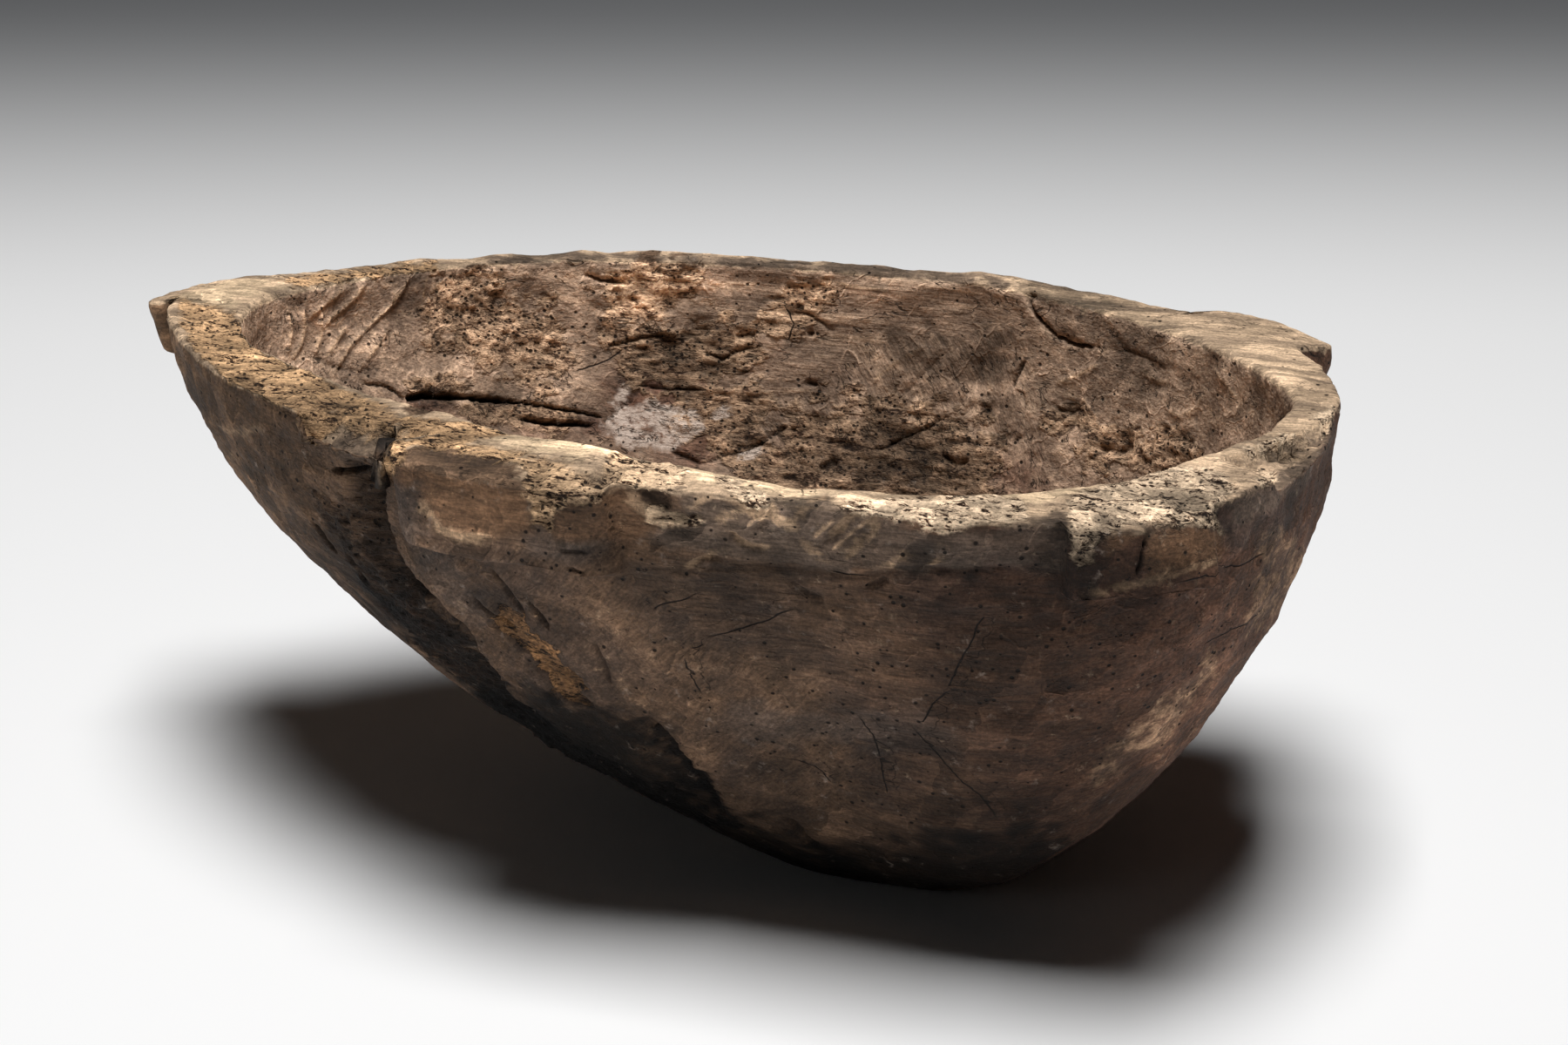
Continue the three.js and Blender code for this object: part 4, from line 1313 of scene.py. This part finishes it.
class OldWood:
    """The wood's finish: dark outside, brown inside, pale and torn on the rim, with grain, holes,
    cracks, rot and a chalky stain where the masks say so, and painted shade and light in holes,
    gaps, grooves and dents, on ridges, low down and in the areas' tones."""

    def __init__(self, colours, sizes):
        self.material = bpy.data.materials.new("old_wood")
        self.material.use_nodes = True
        tree = self.material.node_tree
        tree.nodes.clear()
        self.nodes = Nodes(tree)
        self.colours = colours
        self.groups = {name: make_group(*parts) for name, parts in GROUPS.items()}
        self.place = self.nodes.add("ShaderNodeTexCoord")["Object"]
        axes = self.nodes.add("ShaderNodeSeparateXYZ", {"Vector": self.place})
        self.x, self.z = axes[0], axes[2]
        self.masks = {name: self.stored(name) for name in MASKS}
        for name, (scale, softness) in BROKEN_MASKS.items():
            inputs = {"Mask": self.stored(name), "Scale": scale, "Softness": softness}
            self.masks[name] = self.group("edge", inputs)["Mask"]
        self.in_hollow = self.masks["inside"].above(0.6)
        slant = self.in_hollow.scaled(HOLLOW_SLANT - WALL_SLANT, WALL_SLANT)
        slant = slant * self.masks["slanted"].above(0.5)
        self.grain = self.group("grain", {"Stretch": GRAIN_STRETCH, "Turn": slant})
        self.bands = self.grain["Bands"]
        self.fibres = self.group("fibres", {"Length": FIBRE_LENGTH})
        self.facets = self.group("facets", {"Size": sizes.facet_size, "Turn": WALL_SLANT})
        worms = {"Spacing": sizes.hole_spacing, "Hole radius": sizes.hole_radius,
                 "Amount": self.masks["wormy"].scaled(0.8, 0.42)}
        self.holes = self.group("holes", worms)["Mask"]
        worms.update({"Spacing": sizes.hole_spacing * PORE_SPACING, "Amount": PORE_AMOUNT})
        self.pores = self.group("holes", worms)["Mask"]

    def stored(self, name):
        """A mask stored on the surface."""
        return self.nodes.add("ShaderNodeAttribute", attribute_name=name)["Fac"]

    def group(self, name, inputs):
        """The outputs of a node group at the object's own coordinates."""
        made = self.nodes.tree.nodes.new("ShaderNodeGroup")
        made.node_tree = self.groups[name]
        for label, value in {"Vector": self.place, **inputs}.items():
            self.nodes.give(made.inputs[label], value)
        return Results(self.nodes, made.outputs)

    def sound_wood(self):
        """The wood where it is whole: outer wall, hollow and the rim's top."""
        colours, masks, bands, clouds = self.colours, self.masks, self.bands, self.grain["Clouds"]
        tip = self.x.ramp(-0.35, -0.1, 0.8, 0.0) * self.z.ramp(0.2, 0.3)
        outside = self.nodes.layered(
            colours.outer_dark,
            (clouds.ramp(0.35, 0.65), colours.outer_brown),
            (tip, colours.outer_tip),
            (self.x.ramp(0.12, 0.36, 0.0, 0.75), colours.outer_warm),
            (masks["bluish"] * 0.45, colours.outer_grey),
            (masks["clean"] * bands.ramp(0.42, 0.6, 0.15, 0.7), colours.outer_pale),
            (masks["weathered"] * 0.7, colours.shoulder),
            (masks["facet"] * 0.85, colours.facet_wall))
        within = self.nodes.layered(
            colours.inner_dark,
            (clouds.ramp(0.32, 0.68), colours.inner_brown),
            (bands.ramp(0.5, 0.75, 0.0, 0.6), colours.inner_pale),
            (masks["reddish"] * 0.85, colours.inner_red))
        top = self.nodes.layered(
            colours.rim_grey,
            (bands.ramp(0.35, 0.65), colours.rim_pale),
            (masks["clean"], colours.rim_clean),
            # weathered wood on the rim, darkened partly with painted shade
            (masks["weathered"] * 0.9, colours.rim_weathered),
            # the lugs' tops, darkened with painted shade
            (masks["facet"] * 0.95, colours.facet_top))
        return self.nodes.layered(
            outside,
            (masks["inside"].ramp(0.4, 0.6), within),
            (masks["rim"], top),
            (masks["stroke"] * 0.6, colours.stroke))

    def worn_wood(self, wood):
        """The wood with what is eroded, torn and rotten laid over it, and painted shade in the gaps
        between its fibres and chips.
        """
        colours, masks, height = self.colours, self.masks, self.fibres["Height"]
        raised = height.ramp(0.38, 0.56)
        rough = self.nodes.blend(raised, colours.rough_dark, colours.rough_pale)
        eroded = self.nodes.layered(
            colours.eroded_dark,
            (raised, colours.eroded_pale),
            (self.z.ramp(0.2, 0.3, 0.0, 0.8), colours.outer_brown),
            (self.in_hollow, rough))
        splinter = self.nodes.blend(self.x.ramp(-0.1, 0.15), colours.torn_orange, colours.torn_pale)
        torn = self.nodes.blend(height.ramp(0.43, 0.50), colours.torn_dark, splinter)
        rotten = self.nodes.blend(height.ramp(0.40, 0.55), colours.eroded_dark, colours.rot)
        return self.nodes.layered(
            wood,
            (masks["eroded"] * 0.92, eroded),
            (masks["torn"], torn),
            (masks["rot"], rotten))

    def shade(self):
        """How light the wood is: grain, speckles and facets, with painted shade in dents, painted
        highlights on ridges and facet edges, painted shade low down, painted light high in the hollow,
        and the tones of the areas."""
        masks, nodes = self.masks, self.nodes
        # The facets' raised edges are made lighter as a painted highlight.
        facet_tone = self.facets["Tone"].scaled(0.6, 0.68) + self.facets["Edges"] * 0.5
        # Painted shade low on the wall; in the hollow, painted shade low down and painted light up high
        painted_shade_near_floor = self.z.ramp(0.02, 0.24, 0.55, 1.05)
        painted_shading_in_hollow = self.z.ramp(0.08, 0.33, 0.68, 1.36) * self.x.ramp(-0.15, 0.05, 1.14, 1.0)
        low = {0: self.in_hollow, 2: painted_shade_near_floor, 3: painted_shading_in_hollow}
        shade = self.grain["Streaks"].ramp(0.3, 0.7, 0.72, 1.28)
        for part in (self.bands.ramp(0.3, 0.7, 0.76, 1.24),
                     nodes.noise(self.place, 420.0, 3.0, 0.7).ramp(0.34, 0.66, 0.78, 1.22),
                     facet_tone,
                     # painted shade where the surface lies inward
                     masks["cavity_shade"].scaled(-0.6, 1.0),
                     # painted highlight on ridges between the tool's dishes
                     masks["ridge_highlight"].scaled(0.22, 1.0),
                     nodes.add("ShaderNodeMix", low, data_type="FLOAT")[0],
                     # the areas' tones, partly painted shade and painted light
                     nodes.maths("POWER", TONE_BASE, masks["tone_and_painted_light"])):
            shade = shade * part
        return nodes.add("ShaderNodeCombineColor", {0: shade, 1: shade, 2: shade})[0]

    def dark_marks(self):
        """Painted shade in holes, pits, cracks, checks, gaps between fibres, and the insides of deep
        grooves.
        """
        masks = self.masks
        wobble = (self.nodes.noise(self.place, 160.0, 3.0) - 0.5) * 0.06
        line = (masks["crack_side"] + wobble).maths("ABSOLUTE")
        crack = line.ramp(0.03, 0.08, 1.0, 0.0) * masks["crack_near"]
        pits = self.pores * masks["torn"].or_more(masks["eroded"])
        gaps = self.fibres["Gaps"] * masks["eroded"].scaled(0.5, masks["torn"])
        checks = self.grain["Checks"] * masks["inside"].scaled(0.5, 0.3)
        dark = self.holes.or_more(pits).or_more(crack).or_more(checks.or_more(gaps * 0.9))
        # The hollow mask adds painted shade inside deep grooves
        return dark.or_more(masks["hollow"], clamp=True)

    def relief(self, dark):
        """The height of the fine relief, lowered at the dark marks."""
        masks, place = self.masks, self.place
        rough = masks["torn"].or_more(masks["eroded"].or_more(masks["rot"]))
        fibres = self.fibres["Height"] * 3.4 * rough
        grain = self.grain["Streaks"].scaled(0.7, self.bands * 1.1)
        dented = self.group("dents", {"Size": DENT_SIZE})["Height"] * masks["inside"].scaled(0.25, 0.4)
        grain = self.facets["Edges"].scaled(0.5, grain + dented)
        grain = self.facets["Tone"].scaled(0.3, grain)
        height = self.nodes.noise(place, 320.0, 4.0, 0.7).scaled(0.7, fibres + grain)
        return height - dark * 1.2

    def finished(self):
        """The material, with all of it joined."""
        nodes, colours = self.nodes, self.colours
        wood = self.worn_wood(self.sound_wood())
        wood = nodes.blend(1.0, wood, self.shade(), "MULTIPLY")
        chalk = self.masks["lime"] * nodes.noise(self.place, 130.0, 4.0, 0.7).ramp(0.32, 0.54)
        dark = self.dark_marks()
        # The dark marks are painted shade in holes, cracks, gaps and grooves
        wood = nodes.layered(wood, (chalk * 0.85, colours.lime), (dark * 0.93, colours.hole))
        relief = {"Height": self.relief(dark), "Strength": 1.0, "Distance": BUMP_DISTANCE}
        shader = nodes.add("ShaderNodeBsdfPrincipled", {
            "Base Color": wood, "Roughness": self.bands.ramp(0.3, 0.7, 0.72, 0.92),
            "Normal": nodes.add("ShaderNodeBump", relief)[0], "Specular IOR Level": SHEEN})
        nodes.add("ShaderNodeOutputMaterial", {"Surface": shader[0]})
        return self.material


def linear(red, green, blue):
    """A display colour from 0 to 255 as the linear colour that a shader takes."""
    shares = [value / 255 for value in (red, green, blue)]
    return tuple(s / 12.92 if s <= 0.04045 else ((s + 0.055) / 1.055) ** 2.4 for s in shares)


def length_setting(name, description, default):
    """A length in metres."""
    return FloatProperty(name=name, description=description, default=default, min=0.0, unit="LENGTH",
                         precision=4)


def power_setting(name, description, default):
    """A lamp's power in watts."""
    return FloatProperty(name=name, description=description, default=default, min=0.0, unit="POWER")


def colour_setting(name, description, display):
    """A colour, given as a display colour and labelled by its own name."""
    return FloatVectorProperty(name=name.replace("_", " ").capitalize(), description=description,
                               subtype="COLOR", size=3, min=0.0, max=1.0, default=linear(*display))


WOOD_COLOURS = {
    "outer_dark": ("Weathered outer wall", (78, 62, 51)),
    "outer_brown": ("Browner parts of the outer wall", (108, 84, 65)),
    "outer_tip": ("Browner wood near the pointed end", (126, 98, 74)),
    "outer_warm": ("Reddish wood near the round end", (90, 62, 48)),
    "outer_grey": ("Cool grey parts of the outer wall", (78, 71, 67)),
    "outer_pale": ("Rubbed places on the outer wall", (148, 120, 95)),
    "inner_dark": ("Dark parts of the hollow", (130, 108, 91)),
    "inner_brown": ("The hollow's wood", (172, 144, 121)),
    "inner_pale": ("Pale streaks in the hollow", (198, 168, 140)),
    "inner_red": ("Dark reddish wood low in the hollow", (88, 59, 46)),
    "rim_grey": ("Greyed wood on the rim's top", (162, 138, 114)),
    "rim_pale": ("Pale wood on the rim's top", (194, 166, 136)),
    "rim_clean": ("Smooth cream wood on the rim", (212, 184, 150)),
    # Weathered wood on the rim, darkened partly with painted shade
    "rim_weathered": ("Dark weathered wood on the rim", (90, 75, 63)),
    "shoulder": ("Greyed wood on the rim's outer slope", (100, 86, 75)),
    # Darkened with painted shade
    "facet_top": ("Brown wood on top of the lugs' faces", (94, 72, 55)),
    "facet_wall": ("Brown wood on the lugs' faces", (110, 82, 60)),
    "stroke": ("Pale strokes where the wood was rubbed", (176, 146, 116)),
    "torn_pale": ("Splinters of the torn wood at the round end", (246, 216, 182)),
    "torn_orange": ("Splinters of the torn wood at the pointed end", (228, 184, 138)),
    # Painted shade in the gaps between splinters
    "torn_dark": ("Gaps between the splinters", (96, 64, 42)),
    "eroded_pale": ("Raised fibres of the eroded wood", (52, 37, 27)),
    # Painted shade in the gaps of the eroded and rotted wood
    "eroded_dark": ("Gaps in the eroded wood", (18, 12, 9)),
    "rough_pale": ("Raised chips in the hollow", (188, 155, 125)),
    # Painted shade in the gaps between chips
    "rough_dark": ("Gaps between the chips in the hollow", (84, 58, 42)),
    "rot": ("Orange rotted wood", (186, 138, 94)),
    "lime": ("Chalky stain in the hollow", (228, 208, 192)),
    # Painted shade inside holes, cracks, gaps and deep grooves
    "hole": ("Inside of holes and cracks", (20, 13, 8)),
}

# The stage, in metres: half the floor's side, where painted shade starts and stops greying it
# behind the bowl, and its gloss
FLOOR_HALF = 9.0
FLOOR_FADE = (1.15, 3.2)
FLOOR_ROUGHNESS = 0.75
FLOOR_SHEEN = 0.1
FAR_CLIP = 50

# Each lamp's place, target and size
LAMPS = {
    "overhead": ((0.2, -0.65, 5.34), (0.1, 0.1, 0.0), (1.9, 2.3)),
    "front": ((-0.9, -2.2, 1.2), (0.0, 0.0, 0.25), (1.0, 0.8)),
}


class BowlSizes(bpy.types.PropertyGroup):
    """Sizes of the bowl's worked surface."""

    columns: IntProperty(name="Columns", description="Points round the bowl", default=ROWS_COLUMNS, min=96)
    triangles: IntProperty(name="Triangles", description="Most triangles kept", default=196000, min=2000)
    edge_round: length_setting("Edge rounding", "Rounding of the rim's two edges", 0.005)
    facet_depth: length_setting("Facet depth", "Depth of the tool's dished facets", 0.004)
    facet_size: length_setting("Facet size", "Width of the flat places left by the tool", 0.03)
    tear_depth: length_setting("Tear depth", "Roughness of the torn and eroded wood", 0.003)
    hole_radius: length_setting("Hole radius", "Radius of the beetle holes", 0.00105)
    hole_spacing: length_setting("Hole spacing", "Distance between beetle holes", 0.0082)


class BowlColours(bpy.types.PropertyGroup):
    """Colours of the wood's parts."""

    __annotations__ = {name: colour_setting(name, *row) for name, row in WOOD_COLOURS.items()}


class StageSettings(bpy.types.PropertyGroup):
    """Floor, lamps and surroundings."""

    floor_near: colour_setting("floor_near", "Floor under and before the bowl", (252, 252, 252))
    # Painted shade greys the floor far behind the bowl
    floor_far_shaded: colour_setting("floor_far_shaded", "Floor far shaded behind the bowl", (130, 131, 133))
    overhead_power: power_setting("Overhead lamp", "Power of the soft lamp above", 294.0)
    front_power: power_setting("Front lamp", "Power of the weak lamp in front", 0.8)
    surroundings: FloatProperty(name="Surroundings", description="Strength of the light from all sides",
                                default=0.004, min=0.0, subtype="FACTOR")


class OBJECT_OT_carve_bowl(bpy.types.Operator):
    """Carve the bowl and give it its old wood"""

    bl_idname = "object.carve_old_bowl"
    bl_label = "Carve the bowl"

    def execute(self, context):
        """Makes the one piece, which replaces the plain solid."""
        sizes = context.scene.bowl_sizes
        bowl = make_bowl(sizes)
        thin_out(bowl, sizes.triangles)
        bowl.data.materials.append(OldWood(context.scene.bowl_colours, sizes).finished())
        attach(bowl, "root")
        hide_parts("bowl")
        return {"FINISHED"}


class OBJECT_OT_set_bowl_stage(bpy.types.Operator):
    """Lay the pale floor, hang the soft lamps and place the camera"""

    bl_idname = "object.set_bowl_stage"
    bl_label = "Set the stage"

    def execute(self, context):
        """Makes what stands round the bowl."""
        settings = context.scene.stage_settings
        lay_floor(settings)
        hang_lamp("overhead", settings.overhead_power)
        hang_lamp("front", settings.front_power)
        surround(settings)
        place_camera(context)
        return {"FINISHED"}


def lay_floor(settings):
    """A wide floor that greys with its distance behind the bowl, as painted shade."""
    half, low = FLOOR_HALF, BOWL_LOW.z
    corners = [(-half, -half, low), (half, -half, low), (half, half, low), (-half, half, low)]
    mesh = bpy.data.meshes.new("studio_floor")
    mesh.from_pydata(corners, [], [(0, 1, 2, 3)])
    floor = bpy.data.objects.new("studio_floor", mesh)
    bpy.context.scene.collection.objects.link(floor)
    material = bpy.data.materials.new("studio_floor")
    material.use_nodes = True
    nodes = Nodes(material.node_tree)
    place = nodes.add("ShaderNodeTexCoord")["Object"]
    turned = nodes.turned(place, -math.radians(CAMERA_TURN), "Z_AXIS")
    behind = nodes.add("ShaderNodeSeparateXYZ", {"Vector": turned})[1]
    colour = nodes.blend(behind.ramp(*FLOOR_FADE), settings.floor_near, settings.floor_far_shaded)
    shader = material.node_tree.nodes["Principled BSDF"].inputs
    nodes.give(shader["Base Color"], colour)
    nodes.give(shader["Roughness"], FLOOR_ROUGHNESS)
    nodes.give(shader["Specular IOR Level"], FLOOR_SHEEN)
    mesh.materials.append(material)


def hang_lamp(name, power):
    """A soft rectangular lamp turned to its target."""
    place, target, size = LAMPS[name]
    lamp = bpy.data.lights.new(name, "AREA")
    lamp.shape = "RECTANGLE"
    lamp.size, lamp.size_y = size
    lamp.energy = power
    hung = bpy.data.objects.new(name, lamp)
    hung.location = place
    hung.rotation_euler = (Vector(target) - Vector(place)).to_track_quat("-Z", "Y").to_euler()
    bpy.context.scene.collection.objects.link(hung)


def surround(settings):
    """Even weak light from all sides."""
    world = bpy.data.worlds.new("studio")
    world.use_nodes = True
    back = world.node_tree.nodes["Background"]
    back.inputs["Color"].default_value = (1, 1, 1, 1)
    back.inputs["Strength"].default_value = settings.surroundings
    bpy.context.scene.world = world


def place_camera(context):
    """The photo's viewpoint: from the front, a little from the round end and above."""
    lens = bpy.data.cameras.new("photo_view")
    lens.lens = LENS
    lens.sensor_width = SENSOR
    lens.clip_end = FAR_CLIP
    camera = bpy.data.objects.new("photo_view", lens)
    camera.location = Vector(CAMERA) * MM
    camera.rotation_euler = (math.radians(90 - CAMERA_DOWN), 0, math.radians(CAMERA_TURN))
    context.scene.collection.objects.link(camera)
    context.scene.camera = camera
    context.scene.view_settings.view_transform = "Standard"


class VIEW3D_PT_old_bowl(bpy.types.Panel):
    """Sizes, colours and steps of the bowl"""

    bl_label = "Old dug-out bowl"
    bl_idname = "VIEW3D_PT_old_bowl"
    bl_space_type = "VIEW_3D"
    bl_region_type = "UI"
    bl_category = "Bowl"

    def draw(self, context):
        """One box for each group of settings, and a button for each operator."""
        layout = self.layout
        for title, group in (("Sizes", context.scene.bowl_sizes), ("Colours", context.scene.bowl_colours),
                             ("Stage", context.scene.stage_settings)):
            box = layout.box()
            box.label(text=title)
            for name in group.__annotations__:
                box.prop(group, name)
        layout.operator(OBJECT_OT_carve_bowl.bl_idname)
        layout.operator(OBJECT_OT_set_bowl_stage.bl_idname)


SETTINGS = {"bowl_sizes": BowlSizes, "bowl_colours": BowlColours, "stage_settings": StageSettings}
CLASSES = (*SETTINGS.values(), OBJECT_OT_carve_bowl, OBJECT_OT_set_bowl_stage, VIEW3D_PT_old_bowl)


def register():
    """Registers the classes and hangs the settings on the scene."""
    for cls in CLASSES:
        bpy.utils.register_class(cls)
    for name, cls in SETTINGS.items():
        setattr(bpy.types.Scene, name, PointerProperty(type=cls))


def unregister():
    """Takes off what register put on."""
    for name in SETTINGS:
        delattr(bpy.types.Scene, name)
    for cls in reversed(CLASSES):
        bpy.utils.unregister_class(cls)


def main():
    """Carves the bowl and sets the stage."""
    register()
    bpy.ops.object.carve_old_bowl()
    bpy.ops.object.set_bowl_stage()


if __name__ == "__main__":
    main()
